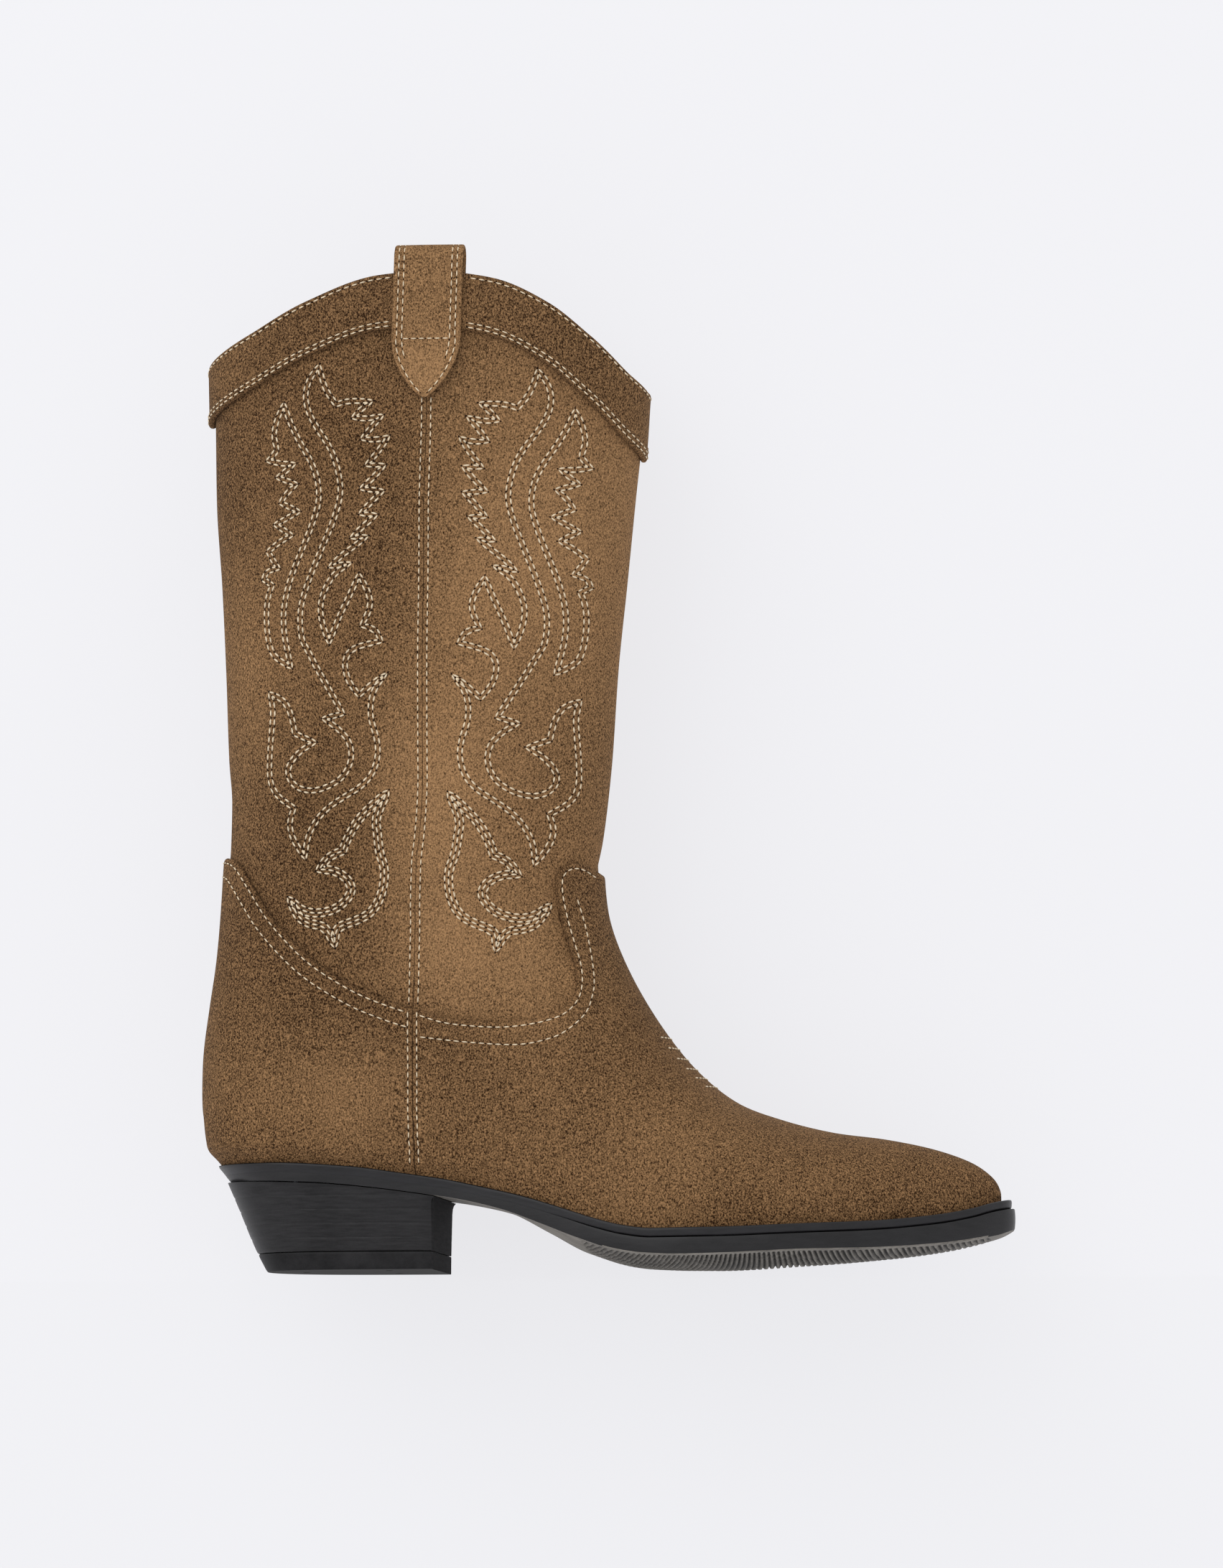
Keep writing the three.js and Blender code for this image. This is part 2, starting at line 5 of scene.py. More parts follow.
import bmesh
import bpy
import numpy as np
from bpy.props import FloatProperty, FloatVectorProperty, PointerProperty
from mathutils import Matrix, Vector


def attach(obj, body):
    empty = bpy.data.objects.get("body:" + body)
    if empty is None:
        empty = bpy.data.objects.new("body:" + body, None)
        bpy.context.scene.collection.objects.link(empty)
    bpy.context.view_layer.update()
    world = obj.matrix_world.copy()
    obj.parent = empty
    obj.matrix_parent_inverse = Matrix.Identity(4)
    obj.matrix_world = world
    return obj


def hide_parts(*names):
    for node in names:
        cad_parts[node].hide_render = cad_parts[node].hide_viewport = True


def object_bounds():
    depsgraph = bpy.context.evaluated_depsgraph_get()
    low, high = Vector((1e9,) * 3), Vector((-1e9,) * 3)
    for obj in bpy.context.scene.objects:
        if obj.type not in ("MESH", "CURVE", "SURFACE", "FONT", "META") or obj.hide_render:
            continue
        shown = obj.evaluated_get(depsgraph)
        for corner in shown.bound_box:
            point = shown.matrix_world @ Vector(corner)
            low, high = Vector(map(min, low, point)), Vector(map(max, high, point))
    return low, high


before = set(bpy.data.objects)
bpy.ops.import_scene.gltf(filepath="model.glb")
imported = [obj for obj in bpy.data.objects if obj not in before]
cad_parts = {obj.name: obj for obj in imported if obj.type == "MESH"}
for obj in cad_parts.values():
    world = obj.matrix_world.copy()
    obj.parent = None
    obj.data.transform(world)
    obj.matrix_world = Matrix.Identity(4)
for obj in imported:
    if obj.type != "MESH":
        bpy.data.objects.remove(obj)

bl_info = {
    "name": "Western boot",
    "version": (1, 0, 0),
    "blender": (4, 5, 0),
    "location": "3D View > Sidebar > Boot",
    "description": "Builds the boot's visible pieces over its CAD frame",
    "category": "Add Mesh",
}

CAD_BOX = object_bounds()
MM = 0.001

# ---- the last and the shaft: the same curves as the CAD, in millimetres ----
COLLAR_PEAK, COLLAR_BACK, COLLAR_FRONT = 347.5, 318.0, 307.6
BAND, STRAP_TOP, STRAP_WIDTH, STRAP_REACH = 19.5, 356.5, 24.2, 45.0
HEEL_BASE, HEEL_BASE_WIDTH, HEEL_TOP_WIDTH, LIFT = 61.4, 50.0, 58.0, 6.1
GAP, LEATHER, WELT = 0.3, 1.4, 3.3
RAND = 5.5               # height of the sole's edge, welt and outsole together
MARGIN = 4.6             # how far the upper is turned in under the insole board
COVER = 2.2              # outer face of the covers and bands, outwards from the skin
LAPPED = (0.1, COVER)    # the two faces of a cover that lies down on the panel beneath it
PANEL, LINED = (-1.4, 0.0), (-3.4, -2.6)
ANKLE, BAND_ROW, TOP = 13, 19, 20    # rows of the skin, counted from the feather edge up
ANKLE_Z = 142.0
SEAM_GAP = 0.02          # degrees that a panel keeps from the side seam
SIDES = {"lateral": -1, "medial": 1}


class Curve:
    """Shape-keeping cubic through (x, y) points, straight beyond its ends."""

    def __init__(self, points):
        self.x, self.y = np.array(points, float).T
        s = np.diff(self.y) / np.diff(self.x)
        a, b = s[:-1], s[1:]
        product = a * b
        inner = np.where(product > 0, 2 * product / np.where(product > 0, a + b, 1), 0)
        self.m = np.concatenate([s[:1], inner, s[-1:]])

    def __call__(self, x):
        x = np.asarray(x, float)
        i = np.clip(np.searchsorted(self.x, x) - 1, 0, len(self.x) - 2)
        h = self.x[i + 1] - self.x[i]
        t = np.clip((x - self.x[i]) / h, 0, 1)
        y = self.y[i] * (1 + 2 * t) * (1 - t) ** 2 + self.y[i + 1] * t * t * (3 - 2 * t)
        y = y + h * t * (1 - t) * (self.m[i] * (1 - t) - self.m[i + 1] * t)
        y = y + self.m[0] * np.minimum(x - self.x[0], 0)
        return y + self.m[-1] * np.maximum(x - self.x[-1], 0)


class Spline:
    """Smooth curve through points; t runs from 0 to 1, the same share for each span."""

    def __init__(self, points):
        self.p = np.array(points, float)

    def __call__(self, t):
        n = len(self.p)
        f = np.clip(np.asarray(t, float), 0, 1) * (n - 1)
        i = np.minimum(f.astype(int), n - 2)
        w = (f - i)[..., None]
        a, b = self.p[np.maximum(i - 1, 0)], self.p[i]
        c, d = self.p[i + 1], self.p[np.minimum(i + 2, n - 1)]
        u, v = (c - a) / 2, (d - b) / 2
        return (2 * b - 2 * c + u + v) * w**3 + (3 * c - 3 * b - 2 * u - v) * w**2 + u * w + b


# the centre line over the toe and round the heel: (x, z) of each row up to the ankle
FRONT = Spline([
    (224.0, 23.0), (223.7, 27.0), (221.2, 31.0), (214.4, 35.6), (202.0, 39.9), (186.0, 43.2), (168.0, 45.6),
    (150.0, 50.1), (133.5, 56.6), (118.5, 68.8), (105.5, 85.4), (94.5, 104.5), (87.6, 123), (85.6, 142)])
BACK = Spline([
    (-44.0, 37.2), (-46.8, 40.6), (-49.6, 43.6), (-50.3, 46.2), (-50.7, 48.8), (-51.0, 51.5), (-51.3, 54.5),
    (-51.7, 58.5), (-51.8, 66), (-51.3, 78), (-49.2, 94), (-47.2, 108), (-45.8, 123.5), (-44.7, 142)])
# by height: the shaft's back, its front and half its width
shaft_back = Curve([
    (142, -44.7), (150, -44.2), (165, -43.9), (180, -45.0), (211, -46.2), (241, -47.7), (272, -49.8),
    (300, -50.3), (350, -51.5)])
shaft_front = Curve([
    (142, 85.6), (150, 87.3), (165, 89.3), (180, 90.8), (211, 92.9), (241, 96.0), (272, 99.1), (290, 101.0),
    (308, 102.2), (350, 106)])
shaft_depth = Curve([
    (60, 32.5), (123, 33.2), (142, 33), (165, 33.6), (200, 35.2), (250, 37.6), (300, 39.4), (350, 40.4)])
# by distance along the boot: the foot's half width squared, and its middle
half_squared = Curve([
    (-44, 0), (-40, 11.5**2), (-32, 18.5**2), (-20, 23.3**2), (-5, 25.3**2), (10, 25.5**2), (30, 25**2),
    (50, 25.5**2), (75, 29.5**2), (100, 35**2), (125, 38.5**2), (145, 37.7**2), (165, 33.2**2),
    (185, 26**2), (205, 16.3**2), (215, 10.5**2), (221, 5.2**2), (224, 0)])
centre = Curve([
    (-50, 0), (20, 0), (50, -1.8), (75, -2.8), (100, -2), (125, -0.5), (145, 1), (165, 2.5), (185, 4),
    (205, 5.8), (224, 8), (240, 9)])
# by distance along the boot: heights of the feather edge, the top line and the sole's edge
feather = Curve([
    (-50, 37.1), (-28, 37.3), (2, 35.7), (20, 33.3), (35, 31.1), (47, 28.6), (63, 24.9), (76.6, 20.8),
    (90, 16.5), (100, 14.1), (109, 13.1), (133, 13.4), (160, 14.6), (186, 16), (206, 18.4), (218, 21),
    (224, 23), (232, 25)])
ridge = Curve([(0, 658), *FRONT.p[::-1]])
sole_edge = Curve([
    (-50, 31.8), (-27, 31), (-8, 30.1), (10.7, 28.3), (29.2, 25.8), (40, 24.1), (56, 20.3), (70, 15.2),
    (83.4, 10), (96.6, 5.8), (106, 4.3), (119, 3.7), (133, 4), (160, 5.4), (186, 6.3), (206, 8),
    (225, 11.5), (232, 14.4)])
# how far the sole bulges down between its edges
crown = Curve([
    (30, 0), (56, 0.4), (70, 2.4), (83.4, 4.2), (96.6, 4.2), (106, 3.9), (119, 3.7), (133, 4), (160, 3.8),
    (186, 2.6), (206, 1.8), (225, 0.6), (232, 0)])
# how far the welt and the outsole stand out from the feather edge
welt_reach = Curve([(-50, 4.3), (30, 4.3), (60, 4.4), (100, 5.5), (200, 5.7), (224, 5.8)])
sole_reach = Curve([(-50, 4.0), (30, 4.0), (60, 4.2), (100, 5.8), (200, 6.6), (224, 7.7)])
# by row: the side seam's angle in degrees
seam_angle = Curve([
    (0, 61.2), (1, 62.2), (2, 63.5), (3, 64.7), (4, 66.4), (5, 69), (6, 72.3), (7, 76), (8, 80), (9, 84),
    (10, 87.5), (11, 91.4), (12, 94.2), (13, 95), (16, 94), (20, 93)])
# by angle: share of the way up from the back to the peak, and down from there to the front
PEAK_ANGLE = 95
collar_edge = Curve([(0, 0), (20, 0.14), (40, 0.35), (60, 0.68), (80, 0.95), (PEAK_ANGLE, 1)])
collar_fall = Curve([(PEAK_ANGLE, 0), (110, 0.075), (125, 0.27), (140, 0.55), (160, 0.865), (180, 1)])
# by height: how far the heel's back has sloped out
heel_back_line = Curve([(0, 0), (LIFT, 3.2), (12, 5.9), (21.2, 9.7), (32, 14.4)])
# cut top edges in side view, as (x, z)
VAMP_LINE = [
    (10, 92.5), (23.7, 90.6), (35.5, 87), (46.8, 85.5), (57.7, 85.1), (68.7, 86.5), (76.6, 89.2),
    (80.5, 93.6), (81.5, 98.5), (80.9, 104.7), (78.2, 113.3), (75.8, 121.4), (74, 130.4), (74.3, 137.7),
    (78.2, 141.1), (82.6, 141.2), (87.3, 138.3)]
COUNTER_LINE = [
    (-46.5, 145.8), (-42, 144.4), (-38, 141), (-31, 130.7), (-26.5, 124), (-20, 116.5), (-11.6, 108.4),
    (-3.4, 102.6), (6.8, 96.8), (17.2, 92.6), (24, 90.4), (34, 88)]


def smooth(t):
    c = np.clip(t, 0, 1)
    return c * c * (3 - 2 * c)


def mix(a, b, t):
    return a + (b - a) * t


def collar_height(angle):
    deg = np.degrees(angle)
    low = mix(COLLAR_BACK, COLLAR_PEAK, collar_edge(deg))
    return np.where(deg <= PEAK_ANGLE, low, mix(COLLAR_PEAK, COLLAR_FRONT, collar_fall(deg)))


def row_height(angle, row):
    edge = collar_height(angle)
    f = (row - ANKLE) / (BAND_ROW - ANKLE)
    level = mix(ANKLE_Z, COLLAR_BACK - 22, f) + (edge - BAND - COLLAR_BACK + 22) * smooth(f)
    return np.where(row >= BAND_ROW, edge - BAND * (TOP - row), level)


def skin(theta, row):
    """Outer face of the shaft panels. theta: back 0, medial side +, lateral side -, front pi."""
    theta, row = np.broadcast_arrays(np.asarray(theta, float), np.asarray(row, float))
    angle = np.abs(theta)
    angle = np.where(angle > math.pi, 2 * math.pi - angle, angle)
    side = np.sign(np.where(np.abs(np.sin(theta)) < 1e-9, 0, np.sin(theta)))
    t = (1 - np.cos(angle)) / 2
    f, b = FRONT(row / ANKLE), BACK(row / ANKLE)
    f0, b0 = FRONT(0.0), BACK(0.0)
    x_foot = mix(b[..., 0], f[..., 0], t)
    x0 = mix(b0[0], f0[0], t)
    low_row = np.clip(1 - row / ANKLE, 0, 1) ** 1.5
    z_foot = mix(b[..., 1], f[..., 1], t) + (feather(x0) - mix(b0[1], f0[1], t)) * low_row
    rear = np.clip((60 - x_foot) / (60 - b0[0]), 0, 1)
    # the sides swell above the feather edge, most at the heel, and round in towards the ridge
    tuck = mix(0.9, 3.4, smooth((110 - x_foot) / 60)) * smooth(row / 2.5)
    half = np.sqrt(np.maximum(half_squared(x_foot - (b[..., 0] - b0[0]) * rear), 0))
    low = feather(x_foot)
    # a share of 1 all along the ridge, also between the points that the two curves have in common
    ground = feather(f[..., 0])
    crest = (f[..., 1] - ground) / np.maximum(ridge(f[..., 0]) - ground, 0.5)
    crest = np.where(row > 1, crest, np.maximum(crest, 1))
    s = np.clip((z_foot - low) / np.maximum(ridge(x_foot) - low, 0.5) / crest, 0, 1)
    foot = (half + tuck * np.minimum(half / 20, 1)) * np.sqrt(1 - s**2.3)
    # from row 8 up the section turns into the shaft's oval
    wide_foot = mix(foot, shaft_depth(z_foot) * np.sin(angle), smooth((row - 8) / (ANKLE - 8)))
    z_shaft = row_height(angle, row)
    x_shaft = mix(shaft_back(z_shaft), shaft_front(z_shaft), t)
    shaft = row > ANKLE
    x = np.where(shaft, x_shaft, x_foot)
    z = np.where(shaft, z_shaft, z_foot)
    width = np.where(shaft, shaft_depth(z_shaft) * np.sin(angle), wide_foot)
    middle = centre(x) * (1 - smooth((z - 25) / 80))
    return np.stack([x, middle + side * width, z], -1)


def outward(theta, row):
    e = 0.01
    du = skin(theta + e, row) - skin(theta - e, row)
    dv = skin(theta, np.minimum(row + e, TOP)) - skin(theta, np.maximum(row - e, 0))
    n = np.cross(dv, du)
    return n / np.linalg.norm(n, axis=-1, keepdims=True)


def shell(theta, row, off):
    """The skin moved out by off millimetres."""
    return skin(theta, row) + outward(theta, row) * np.asarray(off)[..., None]


def plan(theta, out):
    """The feather edge in plan, grown by out millimetres."""
    e = 0.02
    p, d = skin(theta, 0.0), skin(theta + e, 0.0) - skin(theta - e, 0.0)
    k = out / np.hypot(d[..., 0], d[..., 1])
    x = p[..., 0] - d[..., 1] * k
    return np.stack([x, p[..., 1] + d[..., 0] * k, feather(x)], -1)


def turned(theta, out, down):
    p = plan(theta, out)
    p[..., 2] -= down
    return p


def upper(theta, row, off):
    """shell(), with the lasting margin turned under the board where row is below 0."""
    knee = 0.35
    lifted = np.clip(row / knee, 0, 1)[..., None]
    wall = shell(theta, np.maximum(row, knee), off)
    wall = mix(turned(theta, off, off), wall, lifted)
    under = turned(theta, mix(off, -MARGIN, np.clip(-row, 0, 1)), off)
    return np.where((row < 0)[..., None], under, wall)


def locate(x, z, off=0.0):
    """Angle and row of the points of the shell that a side view shows at (x, z)."""
    x, z = np.asarray(x, float), np.asarray(z, float)
    # a first guess from straight stretches of the outline
    b = np.where(z > ANKLE_Z, shaft_back(z), np.interp(z, [37, 66, 142], [-44, -51.8, -44.7]))
    f = np.where(z > ANKLE_Z, shaft_front(z), np.interp(z, [57, 85, 104, 142], [133, 105.5, 94.5, 85.6]))
    t = np.clip((x - b) / (f - b), 0.02, 0.98)
    row = np.interp(z, [20, 60, 100, 142, 300, 345], [0, 5, 10, 13, 19, 20])
    for _ in range(5):
        row = row + np.clip(z - skin(np.arccos(1 - 2 * t), row)[..., 2], -25, 25) / 14

    def error(t, row):
        """How far a guess misses."""
        p = shell(np.arccos(1 - 2 * t), row, off)
        return p[..., 0] - x, p[..., 2] - z

    # Newton's method on both together, with its steps held back
    e = 1e-4
    for _ in range(14):
        ex, ez = error(t, row)
        if np.max(np.hypot(ex, ez)) < 0.02:
            break
        st, sr = np.where(t > 0.5, -e, e), np.where(row > 10, -e, e)
        ax, az = error(t + st, row)
        bx, bz = error(t, row + sr)
        a, b, c, d = (ax - ex) / st, (bx - ex) / sr, (az - ez) / st, (bz - ez) / sr
        det = a * d - b * c
        det = np.where(np.abs(det) < 1e-6, 1e-6, det)
        t = np.clip(t - np.clip((d * ex - b * ez) / det, -0.08, 0.08), 1e-4, 1 - 1e-4)
        row = np.clip(row - np.clip((a * ez - c * ex) / det, -1.2, 1.2), 0.05, TOP)
    return np.arccos(1 - 2 * t), row


# ---- mesh helpers ----
def put(verts, points):
    """Moves verts to points, given in millimetres."""
    for v, p in zip(verts, (np.asarray(points) * MM).tolist()):
        v.co = p


def grid(bm, across, along):
    """A flat grid of across x along faces: its vertices, and each one's column and row."""
    verts = bmesh.ops.create_grid(bm, x_segments=across, y_segments=along, size=0.5)["verts"]
    co = np.array([v.co[:2] for v in verts])
    i = np.rint((co[:, 0] + 0.5) * across).astype(int)
    j = np.rint((co[:, 1] + 0.5) * along).astype(int)
    return verts, i, j


def as_mesh(name, bm):
    mesh = bpy.data.meshes.new(name)
    bm.to_mesh(mesh)
    bm.free()
    return mesh


def linked(name, data):
    """A new object in the scene."""
    thing = bpy.data.objects.new(name, data)
    bpy.context.scene.collection.objects.link(thing)
    return thing


def finished(name, bm, look, nodes=(), sharp=40.0):
    """Closes the mesh and makes it a piece of the boot with that finish, in the place of CAD nodes."""
    bmesh.ops.remove_doubles(bm, verts=bm.verts, dist=0.004 * MM)
    bmesh.ops.dissolve_degenerate(bm, edges=bm.edges, dist=0.002 * MM)
    bmesh.ops.recalc_face_normals(bm, faces=bm.faces)
    mesh = as_mesh(name, bm)
    mesh.shade_smooth()
    if sharp:
        mesh.set_sharp_from_angle(angle=math.radians(sharp))
    mesh.materials.append(finish_of(look))
    piece = linked(name, mesh)
    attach(piece, "root")
    if nodes:
        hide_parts(*nodes)
    return piece


def steps(count, rim):
    """Values from 0 to 1, close together at both ends, and how full the sheet's thickness is there."""
    rim_at, rim_full = np.array([0, 0.13, 0.45, 1.0]), np.array([0, 0.49, 0.84, 1.0])
    inner = np.linspace(rim, 1 - rim, count)[1:-1]
    values = np.concatenate([rim_at * rim, inner, (1 - rim_at * rim)[::-1]])
    full = np.concatenate([rim_full, np.ones(len(inner)), rim_full[::-1]])
    return values, full


def closed_sheet(columns, rows, place, low, high):
    """Two layers of a grid that meet in a rounded rim. place(u, v, off) gives millimetres."""
    bm = bmesh.new()
    (us, fu), (vs, fv) = columns, rows
    for side in (1, -1):
        verts, i, j = grid(bm, len(us) - 1, len(vs) - 1)
        off = (low + high) / 2 + side * (high - low) / 2 * fu[i] * fv[j]
        put(verts, place(us[i], vs[j], off))
    return bm


def seam_theta(a, row, side, gap=SEAM_GAP):
    """Angle at share a of the way from the centre line (0) to the side seam (1)."""
    deg = seam_angle(row)
    if side == "front":
        return np.radians(180 - (180 - deg - gap) * np.abs(a)) * np.where(a < 0, -1, 1)
    return np.radians((deg - gap) * a)


def lengths(points):
    """Distance along a line to each of its points."""
    return np.concatenate([[0], np.cumsum(np.linalg.norm(np.diff(points, axis=0), axis=1))])


def cut_edge(line, off, side):
    """A piece's cut top edge, from the centre line to the seam: share of the way to the seam, and row."""
    at = Spline(line)(np.linspace(0, 1, 260))
    theta, row = locate(at[:, 0], at[:, 1], off)
    deg = np.degrees(theta)
    share = (180 - deg) / (180 - seam_angle(row)) if side == "front" else deg / seam_angle(row)
    if side == "front":
        share, row = share[::-1], row[::-1]
    share[0] = 0
    keep = share <= 1.02
    share, row = share[keep], row[keep]
    length = lengths(shell(seam_theta(share, row, side), row, off))
    end = np.interp(1.0, np.maximum.accumulate(share), length)
    c = np.linspace(0, end, 200)
    share, row = np.interp(c, length, share), np.interp(c, length, row)
    share[-1] = 1
    return lambda s: (np.interp(s, c / end, share), np.interp(s, c / end, row))


# ---- shader helpers ----
def srgb(r, g, b):
    """Linear colour from a screen colour given from 0 to 255."""
    c = np.array([r, g, b]) / 255
    return tuple(float(v) for v in np.where(c <= 0.04045, c / 12.92, ((c + 0.055) / 1.055) ** 2.4))


class Value:
    """A socket of numbers that adds Math nodes as it is reckoned with."""

    def __init__(self, nodes, socket):
        self.nodes, self.socket = nodes, socket

    def math(self, operation, *values):
        return self.nodes.add("ShaderNodeMath", {"operation": operation}, dict(enumerate(values)))

    def __add__(self, other):
        return self.math("ADD", self, other)

    def __sub__(self, other):
        return self.math("SUBTRACT", self, other)

    def __rsub__(self, other):
        return self.math("SUBTRACT", other, self)

    def __mul__(self, other):
        return self.math("MULTIPLY", self, other)

    def __truediv__(self, other):
        return self.math("DIVIDE", self, other)

    def __rtruediv__(self, other):
        return self.math("DIVIDE", other, self)

    __radd__ = __add__
    __rmul__ = __mul__


class Nodes:
    """One material's nodes. add() takes any node's type, its settings, and its sockets' values or links."""

    def __init__(self, name, **constants):
        self.material = bpy.data.materials.new(name)
        self.material.use_nodes = True
        self.tree = self.material.node_tree
        self.shader = self.tree.nodes["Principled BSDF"]
        for socket, value in constants.items():
            self.shader.inputs[socket.replace("_", " ")].default_value = value
        self.place = self.add("ShaderNodeTexCoord", out="Object")
        parts = self.tree.nodes.new("ShaderNodeSeparateXYZ")
        self.tree.links.new(self.place.socket, parts.inputs[0])
        self.x, self.y, self.z = (Value(self, s) for s in parts.outputs)

    def add(self, kind, settings=None, sockets=None, out=0):
        node = self.tree.nodes.new(kind)
        for key, value in (settings or {}).items():
            setattr(node, key, value)
        for key, value in (sockets or {}).items():
            if isinstance(value, Value):
                self.tree.links.new(value.socket, node.inputs[key])
            else:
                node.inputs[key].default_value = value
        return Value(self, node.outputs[out])

    def clamp(self, value):
        return self.add("ShaderNodeClamp", {}, {0: value})

    def noise(self, scale, detail=2.0, rough=0.5, stretch=None, warp=0.0):
        where = self.place
        if stretch:
            where = self.add("ShaderNodeMapping", {}, {0: where, 3: stretch})
        sockets = {"Vector": where, "Scale": scale, "Detail": detail, "Roughness": rough, "Distortion": warp}
        return self.add("ShaderNodeTexNoise", {}, sockets)

    def spot(self, x, z, wide, tall):
        """A soft patch on both sides of the boot, centred at (x, z) millimetres."""
        a, b = (self.x - x * MM) / (wide * MM), (self.z - z * MM) / (tall * MM)
        return self.add("ShaderNodeMath", {"operation": "EXPONENT"}, {0: (a * a + b * b) * -1.0})

    def blend(self, factor, dark, light):
        dark, light = [c if isinstance(c, Value) else (*c[:3], 1) for c in (dark, light)]
        return self.add("ShaderNodeMix", {"data_type": "RGBA"}, {0: factor, 6: dark, 7: light}, out=2)

    def bump(self, height, distance, strength):
        return self.add("ShaderNodeBump", {}, {"Height": height, "Distance": distance, "Strength": strength})

    def coat(self, mask, dark, light, rough, relief):
        """Colours between dark and light by mask, roughness, and relief as height, depth and strength."""
        colour = self.blend(self.clamp(mask), dark, light)
        return self.finish(Base_Color=colour, Roughness=rough, Normal=self.bump(*relief))

    def finish(self, **links):
        for socket, value in links.items():
            self.tree.links.new(value.socket, self.shader.inputs[socket.replace("_", " ")])
        return self.material


def suede(name, dark, light, tone, patches=(), slope=0.0):
    """Brushed nap: fine fibres, clumps and broad brushed patches, lighter towards the front by slope."""
    sheen = {"Sheen_Weight": 0.03, "Sheen_Roughness": 0.4, "Sheen_Tint": (1.0, 0.8, 0.6, 1)}
    n = Nodes(name, Specular_IOR_Level=0.1, **sheen)
    fine = n.noise(2000, 2.0, 0.7, stretch=(1, 1, 0.75), warp=0.4)
    clumps = n.noise(900, 2.0, 0.6)
    mottle = n.noise(90, 3.0, 0.55)
    broad = n.noise(13, 2.0, 0.5, stretch=(1.0, 1.0, 0.7))
    mask = tone + (n.x - 0.03) * slope
    mask = mask + (broad - 0.5) * 0.42 + (mottle - 0.5) * 0.1
    for x, z, wide, tall, amount in patches:
        mask = mask + n.spot(x, z, wide, tall) * amount
    mask = mask + (fine - 0.5) * 2.7 + (clumps - 0.5) * 0.35
    height = fine * 0.8 + clumps * 0.7 + mottle * 0.6
    return n.coat(mask, dark, light, 0.84 + clumps * 0.2, (height, 0.0004, 0.8))


def smooth_leather(name, base, light, rough=0.6):
    """Lining and sock leather: fine pores, faint wrinkles and handling marks."""
    n = Nodes(name, Specular_IOR_Level=0.3)
    pores = n.add("ShaderNodeTexVoronoi", {}, {"Vector": n.place, "Scale": 900.0})
    wrinkle = n.noise(160, 4.0, 0.6, warp=0.5)
    stain = n.noise(18, 3.0, 0.5)
    mask = 0.35 + (stain - 0.5) * 1.2 + (wrinkle - 0.5) * 0.7
    rough = rough + (wrinkle - 0.5) * 0.3
    return n.coat(mask, base, light, rough, (pores * 0.6 + wrinkle, 0.0002, 0.6))


def rubber(name, dark, light, rough, streak=(1, 1, 1), gloss=0.4, groove=0.0):
    """Satin rubber or dyed leather: fine grain, streaks and dust, and painted shade in the tread's grooves.
    """
    n = Nodes(name, Specular_IOR_Level=gloss)
    fine = n.noise(1500, 2.0, 0.6)
    streaks = n.noise(120, 4.0, 0.65, stretch=streak)
    dust = n.noise(35, 4.0, 0.6)
    mask = n.clamp(0.3 + (streaks - 0.5) * 1.3 + (dust - 0.5) * 0.9 + (fine - 0.5) * 0.3)
    colour = n.blend(mask, dark, light)
    # painted shade: the colour goes near black where the groove attribute says the tread is cut deep
    if groove:
        deep = n.add("ShaderNodeAttribute", {"attribute_name": "groove"}, out="Fac")
        colour = n.blend(n.clamp(deep * groove), colour, srgb(16, 15, 14))
    return n.finish(
        Base_Color=colour, Roughness=rough + (streaks - 0.5) * 0.25 + (dust - 0.5) * 0.2,
        Normal=n.bump(fine * 0.5 + streaks, 0.00012, 0.5))


def fibreboard(name, base, light, rough=0.9, scale=300.0):
    """Pressed board, cork or cloth tape: specks and short fibres."""
    n = Nodes(name, Specular_IOR_Level=0.2)
    specks = n.add("ShaderNodeTexVoronoi", {}, {"Vector": n.place, "Scale": scale, "Randomness": 1.0})
    fibre = n.noise(scale * 1.6, 3.0, 0.7, stretch=(1, 0.4, 1))
    cloud = n.noise(40, 2.0)
    mask = 0.4 + (specks - 0.4) * 0.6 + (fibre - 0.5) * 1.1 + (cloud - 0.5) * 0.5
    rough = rough + (fibre - 0.5) * 0.15
    return n.coat(mask, base, light, rough, (specks * 0.5 + fibre, 0.0002, 0.6))


def metal(name, base, light, rough=0.35):
    """Drawn steel or brass: fine scratches and tarnish."""
    n = Nodes(name, Metallic=1.0)
    scratch = n.noise(900, 3.0, 0.7, stretch=(1, 1, 0.06))
    tarnish = n.noise(200, 4.0, 0.6)
    mask = 0.5 + (scratch - 0.5) * 0.8 + (tarnish - 0.5) * 1.4
    return n.coat(mask, base, light, rough + (tarnish - 0.5) * 0.3, (scratch, 0.00005, 0.4))


def thread(name, base, light):
    """Twisted thread: fine slanting strands and soiling."""
    n = Nodes(name, Specular_IOR_Level=0.2)
    strands = n.add("ShaderNodeTexWave", {"bands_direction": "DIAGONAL"}, {
        "Vector": n.place, "Scale": 900.0, "Distortion": 1.0, "Detail": 1.0})
    soil = n.noise(90, 3.0, 0.6)
    lean = n.noise(700, 1.0)
    mask = 0.45 + (soil - 0.5) * 1.1 + (lean - 0.5) * 1.4
    return n.coat(mask, base, light, 0.75 + (soil - 0.5) * 0.2, (strands, 0.00008, 0.5))


# ---- sizes and colours a user may change ----
def colour(name, description, *rgb):
    return FloatVectorProperty(
        name=name, description=description, subtype="COLOR", size=3, min=0, max=1, default=srgb(*rgb))


def length(name, description, mm):
    return FloatProperty(name=name, description=description, default=mm * MM, unit="LENGTH", precision=5)


